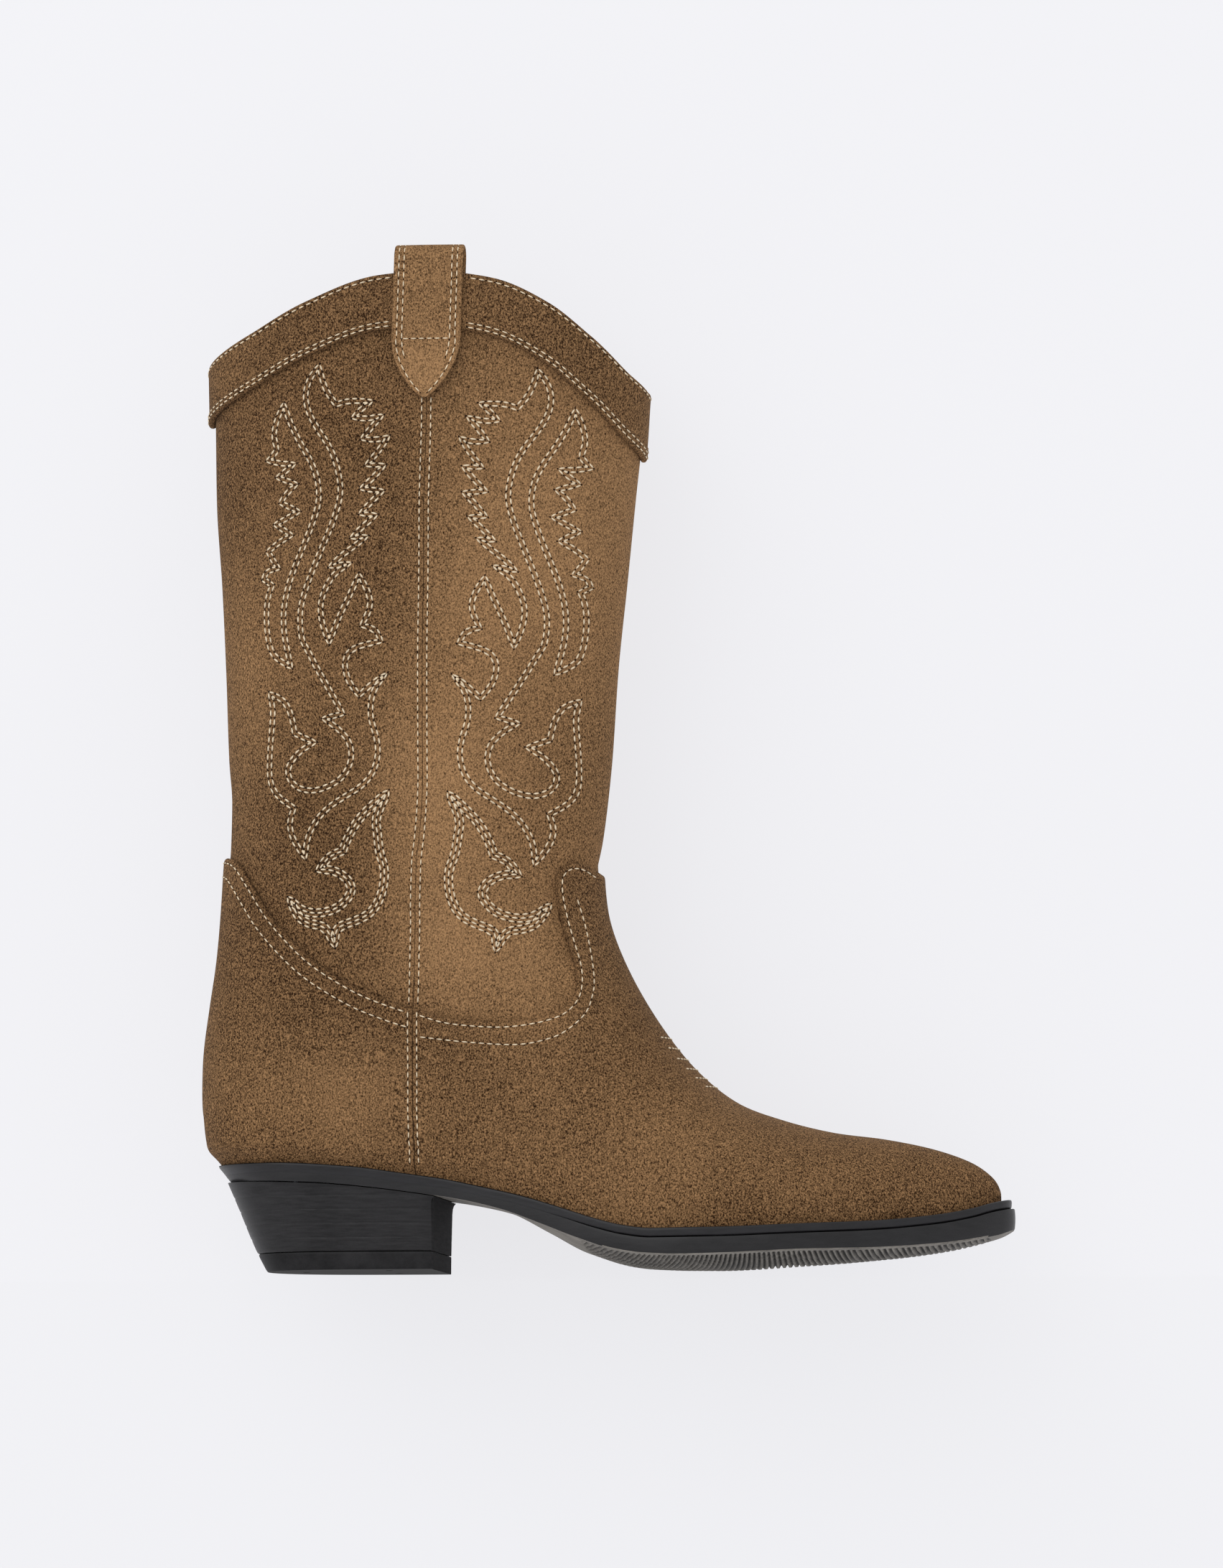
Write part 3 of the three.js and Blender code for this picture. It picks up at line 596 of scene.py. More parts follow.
class BootSizes(bpy.types.PropertyGroup):
    stitch_pitch: length("Stitch pitch", "Distance from one stitch to the next", 3.0)
    stitch_width: length("Stitch width", "Width of a stitch", 0.54)
    row_gap: length("Row gap", "Distance between the embroidery's rows", 1.55)
    seam_gap: length("Seam gap", "Distance between the two rows along the side seams", 3.2)
    rib_pitch: length("Rib pitch", "Distance from one tread rib to the next", 2.0)
    rib_depth: length("Rib depth", "Depth of the grooves between the tread ribs", 1.0)


class BootColours(bpy.types.PropertyGroup):
    suede_dark: colour("Suede, dark", "The nap where it is brushed down", 40, 22, 6)
    suede_light: colour("Suede, light", "The nap where it stands up", 180, 139, 96)
    thread: colour("Thread", "Stitching and embroidery", 250, 230, 196)
    lining: colour("Lining", "Lining leather", 190, 160, 124)
    rubber: colour("Rubber", "Welt, sole and heel", 14, 13, 14)
    brass: colour("Brass", "Top-lift nails", 186, 152, 84)


def sizes():
    return bpy.context.scene.boot_sizes


def tint(name):
    return tuple(getattr(bpy.context.scene.boot_colours, name))


def darker(linear, share):
    return tuple(v * share for v in linear)


# brushed patches: the middle's x and z, half the width and height in mm, and how much lighter
SHAFT_PATCHES = [
    (33, 160, 24, 40, 0.30), (50, 235, 24, 50, 0.16), (40, 108, 26, 20, 0.20), (80, 250, 24, 60, 0.10),
    (16, 262, 14, 48, -0.10), (5, 150, 16, 26, -0.03), (-34, 210, 14, 34, 0.14)]
TRIM_PATCHES = [
    (-2, 62, 26, 18, 0.23), (-38, 64, 16, 24, 0.08), (-30, 120, 12, 22, -0.04), (120, 40, 34, 20, 0.05),
    (165, 32, 24, 12, 0.05), (62, 92, 24, 14, 0.10), (224, 24, 8, 12, -0.06), (20, 325, 14, 26, 0.04)]
STRAP_PATCHES = [(31, 312, 16, 12, 0.16)]
LOOKS = {}


def finish_of(name):
    """The boot's finishes, each made once: a maker and its values."""
    if name in LOOKS:
        return LOOKS[name]
    dark, light, lining, black = tint("suede_dark"), tint("suede_light"), tint("lining"), tint("rubber")
    brass, yarn = tint("brass"), tint("thread")
    finishes = {
        "suede_shaft": (suede, dark, light, 0.38, SHAFT_PATCHES, 1.3),
        "suede_trim": (suede, dark, light, 0.30, TRIM_PATCHES, 0.05),
        "suede_strap": (suede, dark, light, 0.52, STRAP_PATCHES),
        # painted shade: dark suede for the flat discs at the stitches' needle holes
        "needle_hole": (suede, srgb(20, 12, 7), srgb(48, 30, 18), 0.3),
        "thread": (thread, darker(yarn, 0.7), yarn),
        "lining_leather": (smooth_leather, darker(lining, 0.7), lining),
        "sock_leather": (smooth_leather, srgb(150, 116, 78), srgb(186, 150, 108), 0.5),
        "seam_tape": (fibreboard, srgb(196, 180, 148), srgb(226, 214, 188), 0.9, 900.0),
        "stiffener_board": (fibreboard, srgb(156, 140, 112), srgb(196, 182, 152)),
        "insole_fibreboard": (fibreboard, srgb(138, 112, 78), srgb(180, 152, 114)),
        "cork_filler": (fibreboard, srgb(112, 74, 44), srgb(190, 146, 100), 0.95, 420.0),
        "shank_steel": (metal, srgb(120, 122, 126), srgb(190, 192, 196)),
        "nail_brass": (metal, darker(brass, 0.55), brass, 0.3),
        "welt_rubber": (rubber, black, srgb(40, 39, 42), 0.4, (1, 1, 6)),
        "outsole_rubber": (rubber, black, srgb(38, 37, 38), 0.45, (1, 1, 5)),
        # the last value sets how dark the tread's grooves are painted: painted shade
        "tread": (rubber, srgb(88, 84, 78), srgb(168, 162, 152), 0.7, (1, 4, 1), 0.4, 0.92),
        "heel_stack": (rubber, black, srgb(50, 49, 50), 0.45, (1, 1, 9), 0.3),
        "heel_breast": (rubber, black, srgb(60, 59, 60), 0.85, (1, 1, 9), 0.06),
        "top_lift_rubber": (rubber, black, srgb(52, 51, 52), 0.55, (1, 1, 1), 0.2),
        "lift_underside": (rubber, srgb(30, 29, 28), srgb(66, 63, 60), 0.8, (1, 4, 1)),
    }
    maker, *values = finishes[name]
    LOOKS[name] = maker(name, *values)
    return LOOKS[name]


# ---- upper ----
def shaft_sheet(side, low_row, high_row, count, offs):
    """A closed sheet over the front or back half between two rows of the skin."""
    rows, full = steps(count, 0.012)
    cols = steps(110 if side == "front" else 70, 0.0006)

    def place(u, v, off):
        return upper(seam_theta(2 * u - 1, mix(low_row, high_row, v), side), mix(low_row, high_row, v), off)

    return closed_sheet(cols, (rows, full), place, *offs)


def cut_sheet(side, line, offs):
    """A closed sheet from the turned-under margin up to a cut edge drawn in side view."""
    edge = cut_edge(line, sum(offs) / 2, side)
    under = 0.05             # share of the sheet that is turned under the board

    def place(u, v, off):
        a, up = 2 * u - 1, np.clip((v - under) / (1 - under), 0, 1)
        share, top = edge(np.abs(a))
        row = np.where(v < under, v / under - 1, top * up)
        at = mix(np.abs(a), share, up) * np.where(a < 0, -1, 1)
        return upper(seam_theta(at, np.maximum(row, 0), side), row, off)

    return closed_sheet(steps(170 if side == "front" else 90, 0.0006), steps(96, 0.006), place, *offs)


class BOOT_OT_shaft(bpy.types.Operator):
    """Front and back shaft panels"""

    bl_idname = "boot.shaft"
    bl_label = "Shaft panels"

    def execute(self, context):
        for side in ("front", "back"):
            bm = shaft_sheet(side, 9, TOP, 120, PANEL)
            finished(f"shaft_{side}", bm, "suede_shaft", [f"shaft_{side}_panel"])
        return {"FINISHED"}


class BOOT_OT_foot(bpy.types.Operator):
    """Vamp and heel counter cover, cut to their curved top edges"""

    bl_idname = "boot.foot"
    bl_label = "Vamp and counter cover"

    def execute(self, context):
        finished("vamp_suede", cut_sheet("front", VAMP_LINE, LAPPED), "suede_trim", ["vamp"])
        counter = cut_sheet("back", COUNTER_LINE, LAPPED)
        finished("counter_suede", counter, "suede_trim", ["heel_counter_cover"])
        return {"FINISHED"}


def band_foot(theta):
    """Row of the collar band's lower edge: the band is deeper towards the front."""
    return BAND_ROW - 0.16 * smooth((np.abs(theta) - 1.5) / 1.6)


class BOOT_OT_collar(bpy.types.Operator):
    """Collar bands with their raised lower strip"""

    bl_idname = "boot.collar"
    bl_label = "Collar bands"

    def execute(self, context):
        strip_width, strip_rise = 3.4, 0.3
        for side in ("front", "back"):

            def place(u, v, off, side=side):
                theta = seam_theta(2 * u - 1, mix(BAND_ROW, TOP, v), side)
                strip = strip_rise * smooth((strip_width - v * BAND) / 0.5) * (off > 1.5)
                return shell(theta, mix(band_foot(theta), TOP, v), off + strip)

            bm = closed_sheet(steps(130, 0.003), steps(44, 0.045), place, *LAPPED)
            name = f"collar_band_{side}"
            finished(f"{name}_suede", bm, "suede_trim", [name])
        return {"FINISHED"}


class BOOT_OT_linings(bpy.types.Operator):
    """Leather linings of the shaft, vamp and counter"""

    bl_idname = "boot.linings"
    bl_label = "Linings"

    def execute(self, context):
        for name, side, low, high in (
            ("shaft_front_lining", "front", ANKLE, TOP), ("shaft_back_lining", "back", ANKLE, TOP),
            ("vamp_lining", "front", 1, 12.98), ("counter_lining", "back", 1, 12.98),
        ):
            bm = shaft_sheet(side, low, high, 60, LINED)
            finished(f"{name}_leather", bm, "lining_leather", [name])
        return {"FINISHED"}


# half a strap's width, by the distance from its rounded tip
STRAP_HALF = Curve([
    (0, 0.6), (1.6, 2.9), (4.6, 5.6), (9, 8.6), (14, 10.9), (19, 12), (23, STRAP_WIDTH / 2),
    (90, STRAP_WIDTH / 2)])
# where its two legs lie, outwards from the skin, and the loop between them
STRAP_OUT, STRAP_IN = COVER + GAP + 0.1, LINED[0] - GAP - 0.1
STRAP_BEND = (STRAP_OUT - STRAP_IN) / 2
STRAP_FOOT = COLLAR_PEAK - STRAP_REACH
STRAP_LEG = STRAP_TOP - LEATHER - STRAP_BEND - STRAP_FOOT
STRAP_TURN = math.pi * STRAP_BEND
STRAP_LENGTH = 2 * STRAP_LEG + STRAP_TURN


def strap_point(side, along, q, off):
    """A point of a pull strap: along it in mm from the outer tip, q from -1 to 1 across, off out of it."""
    past = along - STRAP_LEG
    angle = np.clip(past, 0, STRAP_TURN) / STRAP_BEND
    inner = np.clip(past - STRAP_TURN, 0, STRAP_LEG)
    s = np.where(past > STRAP_TURN, STRAP_LEG - inner, np.minimum(along, STRAP_LEG))
    z = STRAP_FOOT + s + STRAP_BEND * np.sin(angle) * ((past > 0) & (past < STRAP_TURN))
    out = (STRAP_OUT + STRAP_IN) / 2 + STRAP_BEND * np.cos(angle)
    # the strap leans a little towards the front
    x = mix(29.9, 31.6, (z - STRAP_FOOT) / 50) + q * STRAP_HALF(s)
    b, f = shaft_back(z), shaft_front(z)
    c = (2 * x - b - f) / (f - b)
    face = shaft_depth(z) * np.sqrt(1 - c * c)
    y = side * (face + out + off * np.cos(angle))
    return np.stack([x, y, z + off * np.sin(angle)], -1)


class BOOT_OT_pull_straps(bpy.types.Operator):
    """Pull straps looped over the collar at both side seams"""

    bl_idname = "boot.pull_straps"
    bl_label = "Pull straps"

    def execute(self, context):
        for name, side in SIDES.items():

            def place(u, v, off, side=side):
                return strap_point(side, v * STRAP_LENGTH, 2 * u - 1, off)

            bm = closed_sheet(steps(34, 0.03), steps(150, 0.006), place, 0.0, LEATHER)
            finished(f"pull_strap_{name}_suede", bm, "suede_strap", [f"pull_strap_{name}"])
        return {"FINISHED"}


# ---- bottom ----
def dress(piece, look, chosen):
    """Gives the faces that chosen() picks a finish of their own."""
    piece.data.materials.append(finish_of(look))
    slot = len(piece.data.materials) - 1
    for face in piece.data.polygons:
        if chosen(face):
            face.material_index = slot


def heel_taper(x):
    """How far the edge runs in, from its top to the heel's top, round the heel seat."""
    return 3.7 * smooth((-22 - x) / 22) + 0.8 * smooth((48 - x) / 20)


class BOOT_OT_welt(bpy.types.Operator):
    """Welt ring round the feather edge"""

    bl_idname = "boot.welt"
    bl_label = "Welt"

    def execute(self, context):
        around, points = 300, 22         # steps round the boot, and points of the section
        bm = bmesh.new()
        verts, i, j = grid(bm, around, points)
        theta = (i % around) / around * 2 * math.pi - math.pi
        x = skin(theta, 0.0)[..., 0]
        wall = mix(COVER + 0.9, COVER + 1.6, smooth((110 - x) / 60))
        out, low = welt_reach(x), COVER + 0.4
        inside = np.full_like(x, -MARGIN - 0.4)
        # the section, from the wall over the rounded outer edge and back under the board
        forward = smooth((x - 70) / 35)
        section = [
            (wall, 0), (mix(wall, out, 0.5), 0), (out - 0.7, 0.02), (out - 0.35, 0.12), (out - 0.1, 0.38),
            (out, 0.8), (out, 1.3), (out - 0.03, 2.0), (out - 0.08 * forward, 2.6),
            (out - 0.35 * forward, 3.1), (out - 0.8 * forward, WELT), (mix(out, inside, 0.3), WELT),
            (mix(out, inside, 0.6), WELT), (inside + 0.3, WELT), (inside, WELT), (inside, 3.0),
            (inside, low), (inside + 0.5, low), (mix(inside, low, 0.5), low), (low - 0.1, low), (low, low),
            (mix(low, wall, 0.5), low / 2),
        ]
        outs = np.array([np.broadcast_to(o, x.shape) for o, _ in section])
        downs = np.array([np.broadcast_to(d, x.shape) for _, d in section])
        k, n = j % points, np.arange(len(x))
        share = np.clip((outs[k, n] - inside) / (out - inside), 0, 1)
        put(verts, turned(theta, outs[k, n] - heel_taper(x) * share * downs[k, n] / RAND, downs[k, n]))
        finished("welt_strip", bm, "welt_rubber", ["welt"], sharp=50)
        return {"FINISHED"}


class BOOT_OT_outsole(bpy.types.Operator):
    """Crowned outsole with a ribbed tread inside a plain border"""

    bl_idname = "boot.outsole"
    bl_label = "Outsole"

    def execute(self, context):
        pitch, depth = sizes().rib_pitch / MM, sizes().rib_depth / MM
        ends = skin(np.array([0.0, math.pi]), 0.0)[:, 0]
        first_rib, last_rib = 83.0, 221.5
        stations = np.concatenate([
            [ends[0]], mix(ends[0], -38, np.linspace(0, 1, 16)[1:] ** 2),
            np.arange(-36, first_rib, 2.0), np.arange(first_rib, last_rib, 0.45),
            mix(ends[1], last_rib, 1 - np.linspace(0, 1, 30)[1:] ** 2)])
        stations = np.unique(np.round(stations, 4))
        theta_at = np.arccos(np.clip(1 - 2 * (stations - ends[0]) / (ends[1] - ends[0]), -1, 1))
        top_q, even = np.linspace(-1, 1, 9), np.linspace(-1, 1, 49)
        low_q = np.sin(even * math.pi / 2) * 0.25 + even * 0.75
        wall = np.array([0.06, 0.2, 0.4, 0.6, 0.8, 0.94])
        # the loop: across the top, down one wall, back under the tread, up the other wall
        q = np.concatenate([top_q, np.ones_like(wall), low_q[::-1], -np.ones_like(wall)])
        level = np.concatenate([np.zeros_like(top_q), wall, np.ones_like(low_q), wall[::-1]])
        bm = bmesh.new()
        layer = bm.verts.layers.float.new("groove")
        verts, i, j = grid(bm, len(stations) - 1, len(q))
        theta, k = theta_at[i], j % len(q)
        across, down = q[k], level[k]
        x0 = skin(theta, 0.0)[:, 0]
        forward = smooth((x0 - 70) / 40)
        under, rims = down >= 1, (down <= 0) | (down >= 1)
        bulge = np.sin(down * math.pi) * mix(0.05, 0.25, forward) - 0.15 * forward * rims
        bulge = bulge + 0.3 * (1 - forward) - 0.9 * smooth((x0 - 190) / 34)
        fall = WELT + down * (RAND - WELT)
        reach = sole_reach(x0) + bulge - heel_taper(x0) * fall / RAND
        left, right = plan(-theta, reach), plan(theta, reach)
        p = mix(left, right, ((across + 1) / 2)[:, None])
        x, span = p[:, 0], np.linalg.norm(right - left, axis=1)
        top, edge = feather(x) - WELT - mix(0.02, 0.16, forward), sole_edge(x)
        belly = crown(x) * np.minimum(span / 8, 1) * (1 - across**2)
        inset = (1 - np.abs(across)) * span / 2
        lean = mix(0.35, 0.0, smooth((x - 90) / 90))
        phase = (x + lean * p[:, 1]) / pitch
        notch = smooth((np.abs((phase % 1) - 0.5) - 0.2) / 0.16)
        border = 2.4             # plain rubber round the ribs
        inside = smooth((inset - border) / 0.7) * smooth((x - first_rib - 1) / 2) * smooth((224 - x) / 3)
        groove = notch * inside * under
        p[:, 2] = mix(top, edge, down) - belly * under + depth * groove
        put(verts, p)
        # each vertex keeps its groove share, which the tread's painted groove shade reads
        for v, deep in zip(verts, groove.tolist()):
            v[layer] = deep
        sole = finished("outsole_ribbed", bm, "outsole_rubber", ["outsole"], sharp=30)
        dress(sole, "tread", lambda face: face.normal.z < -0.35 and face.center.x > HEEL_BASE / 2 * MM)
        return {"FINISHED"}


def heel_layer(top, low, levels, grooves=()):
    """A D-shaped layer of the heel. The stack alone has grooves, thin lines round it at those heights."""
    breast, seat = HEEL_BASE / 2, 26.0
    bm = bmesh.new()
    count, flat = 56, 8
    along = 1 - np.cos(np.linspace(0, math.pi / 2, count + 1))
    along = np.where(along > 0.999, 1.0, along)
    rest = np.linspace(-1, 1, flat + 2)[1:-1]
    q = np.concatenate([-np.ones(levels), rest, np.ones(levels), -rest])
    r = np.linspace(0, 1, levels)
    r = np.concatenate([r, np.ones(flat), r[::-1], np.zeros(flat)])
    verts, i, j = grid(bm, count, len(q))
    k, s = j % len(q), along[i]

    def at(z):
        flare = 1.6 * np.exp(-np.maximum(sole_edge(breast) - GAP - z, 0) / 0.9) if grooves else 0
        return mix(-breast - heel_back_line(z), breast + flare, s)

    ceiling = top(at(seat))
    z = mix(low, ceiling, r[k])
    groove = sum(np.exp(-(((z - g) / 0.28) ** 2)) for g in grooves) * 0.2
    rim = 0.35 * (np.exp(-(z - low) / 0.25) + np.exp(-(ceiling - z) / 0.25) * (not grooves))
    half = mix(HEEL_BASE_WIDTH / 2, HEEL_TOP_WIDTH / 2, smooth(z / 34)) - groove - rim
    corner = 1 - 0.03 * smooth((s - 0.985) / 0.015)
    shrink = 1 - (groove + rim) / 40
    x = at(z) * np.where(s < 0.5, shrink, 1)
    put(verts, np.stack([x, q[k] * half * corner * np.sqrt(1 - (1 - s) ** 4), z], -1))
    bmesh.ops.remove_doubles(bm, verts=bm.verts, dist=0.004 * MM)
    bmesh.ops.contextual_create(bm, geom=[e for e in bm.edges if e.is_boundary])
    return bm


class BOOT_OT_heel(bpy.types.Operator):
    """Stacked heel block and its rubber top lift"""

    bl_idname = "boot.heel"
    bl_label = "Heel"

    def execute(self, context):
        bm = heel_layer(lambda x: sole_edge(x) - GAP, LIFT + GAP, 66, (11.2, 16.1, 21.0, 25.8))
        block = finished("heel_stack", bm, "heel_stack", ["heel_block"], sharp=30)
        bm = heel_layer(lambda x: LIFT + 0 * x, 0.0, 16)
        lift = finished("top_lift", bm, "top_lift_rubber", ["heel_top_lift"], sharp=30)
        radius, nails = 1.3 * MM, ((-17, 0), (14, -12), (14, 12))
        cutter = bmesh.new()
        for x, y in nails:
            made = bmesh.ops.create_cone(
                cutter, cap_ends=True, segments=24, radius1=radius, radius2=radius, depth=12 * MM)
            bmesh.ops.translate(cutter, verts=made["verts"], vec=Vector((x, y, 5)) * MM)
        holes = linked("nail_holes", as_mesh("nail_holes", cutter))
        drill = lift.modifiers.new("nail holes", "BOOLEAN")
        drill.operation, drill.object, drill.solver = "DIFFERENCE", holes, "EXACT"
        cut = bpy.data.meshes.new_from_object(lift.evaluated_get(context.evaluated_depsgraph_get()))
        lift.modifiers.clear()
        lift.data = cut
        bpy.data.objects.remove(holes)
        dress(lift, "lift_underside", lambda face: face.normal.z < -0.8)
        for piece in (block, lift):
            dress(piece, "heel_breast", lambda face: face.normal.x > 0.75)
        return {"FINISHED"}


# ---- stitching ----
def stitch_piece(name, spans, lift, size, look):
    """A small grain on each span (start, end, outward): its length is a share of the span, plus so much."""
    starts, ends, normals = (np.concatenate([s[k] for s in spans]) for k in range(3))
    count = len(starts)
    # one grain, doubled until there are enough of them in a line, and then set in place by formula
    apart = 4.0
    bm = bmesh.new()
    bmesh.ops.create_icosphere(bm, subdivisions=1, radius=0.5)
    made = 1
    while made < count:
        copy = bmesh.ops.duplicate(bm, geom=bm.verts[:] + bm.edges[:] + bm.faces[:])
        moved = [g for g in copy["geom"] if isinstance(g, bmesh.types.BMVert)]
        bmesh.ops.translate(bm, verts=moved, vec=(made * apart, 0, 0))
        made *= 2
    co = np.array([v.co for v in bm.verts])
    which = np.rint(co[:, 0] / apart).astype(int)
    spare = [v for v, w in zip(bm.verts, which) if w >= count]
    local = co - np.stack([which * apart, 0 * which, 0 * which], -1)
    keep = which < count
    which, local = which[keep], local[keep]
    if spare:
        bmesh.ops.delete(bm, geom=spare, context="VERTS")
    tangent = ends - starts
    run = np.linalg.norm(tangent, axis=1, keepdims=True)
    tangent = tangent / run
    side = np.cross(normals, tangent)
    side /= np.linalg.norm(side, axis=1, keepdims=True)
    up = np.cross(tangent, side)
    share, plus, wide, tall = size
    axes = tangent * (run * share + plus), side * wide, up * tall
    middle = (starts + ends) / 2 + up * lift
    put(bm.verts, middle[which] + sum(axis[which] * local[:, k:k + 1] for k, axis in enumerate(axes)))
    finished(name, bm, look, sharp=0)


def stitches(name, paths, offset=0.12, width=None):
    """Stitches along paths (points, outward directions), with a dark disc at each stitch's end: painted shade
    of its needle hole.
    """
    pitch = sizes().stitch_pitch / MM
    width = width or sizes().stitch_width / MM
    spans = []
    for points, normals in paths:
        length_at = lengths(points)
        if length_at[-1] < 0.4 * pitch:
            continue
        n = max(int(round(length_at[-1] / pitch)), 1)
        at = np.linspace(0, length_at[-1], n + 1)
        p = np.stack([np.interp(at, length_at, points[:, c]) for c in range(3)], -1)
        w = np.stack([np.interp(at, length_at, normals[:, c]) for c in range(3)], -1)
        spans.append((p[:-1], p[1:], w[:-1] + w[1:]))
    stitch_piece(name, spans, offset, (0.78, 0, width, 0.55), "thread")
    # dark flat discs at both ends of each stitch: painted shade of the needle holes and the gaps between
    # stitches
    holes = [(a - (b - a) * 0.5, a + (b - a) * 0.5, w) for a, b, w in spans]
    stitch_piece(f"{name}_holes", holes, 0.02, (0, 0.75, width * 1.05, 0.16), "needle_hole")


def on_shell(x, z, off, side):
    """3D points and outward directions of a line drawn in side view."""
    theta, row = locate(x, z, off)
    return shell(theta * side, row, off), outward(theta * side, row)


def offset_line(line, off):
    """A side-view line moved to its left by off, with mitred corners."""
    d = np.diff(line, axis=0)
    d /= np.maximum(np.linalg.norm(d, axis=1, keepdims=True), 1e-6)
    n = np.stack([-d[:, 1], d[:, 0]], -1)
    a, b = np.concatenate([n[:1], n]), np.concatenate([n, n[-1:]])
    m = a + b
    m /= np.maximum(np.linalg.norm(m, axis=1, keepdims=True), 1e-6)
    return line + m * off / np.maximum((m * b).sum(1, keepdims=True), 0.85)


# ---- the embroidery: distance from the side seam and height; each list starts at a sharp corner ----
SCROLL = [
    [(38.4, 315), (35.8, 307)], [(31.7, 301.3), (27.2, 302.3)], [(19.1, 301.9), (22.9, 299)],
    [(25.4, 296.5), (20.4, 295.9)], [(15.1, 296.8), (18.6, 293)], [(21.9, 289), (16.8, 288.4)],
    [(12.7, 289.4), (15.8, 284.7)], [(20.2, 279.7)], [(13.9, 279.4), (17.7, 275.2)], [(21.8, 271.5)],
    [(14.2, 270.4), (18.1, 266.8)], [(21.9, 262.7)], [(16.3, 262.1), (20.7, 258.4)], [(24.9, 254.5)],
    [(19.5, 254.7), (23.9, 251.4), (28.4, 248.3)], [(32.5, 244.6)],
    [(25.3, 245.5), (30.5, 242.2), (33.8, 237.5), (35.7, 231.5), (34.9, 224.8)],
    [(32.3, 218.1), (29.1, 226.3), (25.3, 234.1)], [(22, 241.3), (18.9, 236), (17.7, 230.4)],
    [(20.6, 223.7), (16, 222.2)],
    [(13.7, 218.1), (18.7, 217.1), (24.1, 215.4), (26.5, 211.3), (25.2, 204.8)],
    [(21.2, 199.4), (16.8, 203.1)],
    [(11.8, 206.5), (15.1, 202.5), (16.9, 197.5), (16.9, 191.3), (14.9, 184.6), (14.3, 178.5),
     (16.1, 172.3), (20, 167.8), (25.5, 164.5), (32.2, 160.3), (36.6, 155.5), (39.3, 149.9)],
    [(40, 143.2), (44.4, 149.7), (46.1, 155.5)],
    [(44.6, 160.9), (50.9, 165.6), (53.8, 171.2), (54, 179.6), (53.3, 189.1), (53, 195.8)],
    [(54.2, 201.4), (49, 198.6), (46.1, 193.6)], [(44.6, 186.9)],
    [(37.2, 183.5), (43.3, 179.9), (47.1, 174.5), (45, 169.2), (39.1, 166.7), (32.4, 167.8),
     (26.6, 171.4), (23.8, 177.3), (24.8, 183.5), (29.4, 188.5)], [(34, 191.6)],
    [(27, 193.2), (31.9, 201.4), (36.6, 209.3), (40.3, 216), (42.4, 219.8), (43.2, 227.6), (42.2, 234.3),
     (39, 243.3), (35.2, 252.3), (31.5, 261.2), (29.3, 270.2), (30.7, 279.1), (33.7, 286.4),
     (38.3, 293.1), (41.8, 299.3), (43.1, 305.5), (41.5, 311.1)],
]
LEAF = [
    [(51.1, 302.4), (53.6, 297.1), (54.6, 291.2), (53.3, 286.4)], [(56.7, 283.1), (51.6, 281.7)],
    [(46.6, 281.2), (50.2, 278.6)], [(52.8, 276.9)], [(45.6, 274), (49.1, 271.1)], [(51.3, 267.9)],
    [(44.5, 264.4), (48.9, 262.3)], [(53.2, 260.4)], [(47, 256.3), (51.9, 253.9)],
    [(55.7, 251.1), (53.7, 247.8)], [(51.7, 245.1), (55.9, 244.2)], [(57.3, 241.6)],
    [(53.9, 239.2), (55.4, 235.5), (56, 229.3), (55.4, 222), (53.8, 216), (50.7, 212.8)],
    [(46.3, 210.2), (47.6, 215.4), (49, 222), (49.4, 229.6), (48.2, 237.1), (45.8, 244.4), (42.4, 252.3),
     (39.3, 260.1), (37.2, 267.9), (38, 275.8), (40.9, 282.5), (45, 289.2), (48.5, 295.9)],
]
HOOK = [
    [(11.1, 165), (17, 160), (21.7, 154.9), (25, 148.8)], [(26.3, 145.2), (31.3, 143)],
    [(34.6, 138.7), (29.5, 138.1), (24.9, 135.3), (22.6, 131.2), (24.2, 127.3), (28.6, 123.6),
     (34.8, 122.3), (40.5, 123.6)], [(45.1, 127.7), (41.5, 121), (37, 118.3), (31.9, 116.9)],
    [(28.3, 110.7), (27.4, 116.5), (21.8, 118.8), (16.6, 121.3), (13.3, 125.5), (11.4, 132),
     (11.3, 138.7), (13.1, 144.3), (14, 151), (14.5, 156.6)],
]
# the side seam in side view, by height
SEAM_LINE = Curve([(36, 25.9), (60, 24.6), (94, 25.1), (152, 26.6), (217, 27.7), (304, 30), (350, 31.4)])


def motif_paths(motif, moves, front, side):
    """A motif's rows, moved sideways by moves, as stitch paths: one for each stretch between corners."""
    arcs = [Spline(a + [motif[(k + 1) % len(motif)][0]])(np.linspace(0, 1, 8 * len(a) + 1))
            for k, a in enumerate(motif)]
    loop = np.concatenate([a[:-1] for a in arcs] + [arcs[0][:1]])
    ends = np.cumsum([0] + [len(a) - 1 for a in arcs])
    d, z = loop[:, 0], loop[:, 1]
    x = SEAM_LINE(z) + d if front else SEAM_LINE(z) - d
    # the hooks sit a little higher, and the front half tips down a little
    lift = 2.2 * smooth((150 - z) / 45)
    line = np.stack([x, z + lift - (0.065 * d if front else 0)], -1)
    paths = []
    for move in moves:
        # the loop is carried past both ends, so that its first corner is mitred too
        moved = offset_line(np.concatenate([line[-2:-1], line, line[1:2]]), move)[1:-1]
        points, normals = on_shell(moved[:, 0], moved[:, 1], 0.0, side)
        paths += [(points[a:b + 1], normals[a:b + 1]) for a, b in zip(ends[:-1], ends[1:])]
    return paths


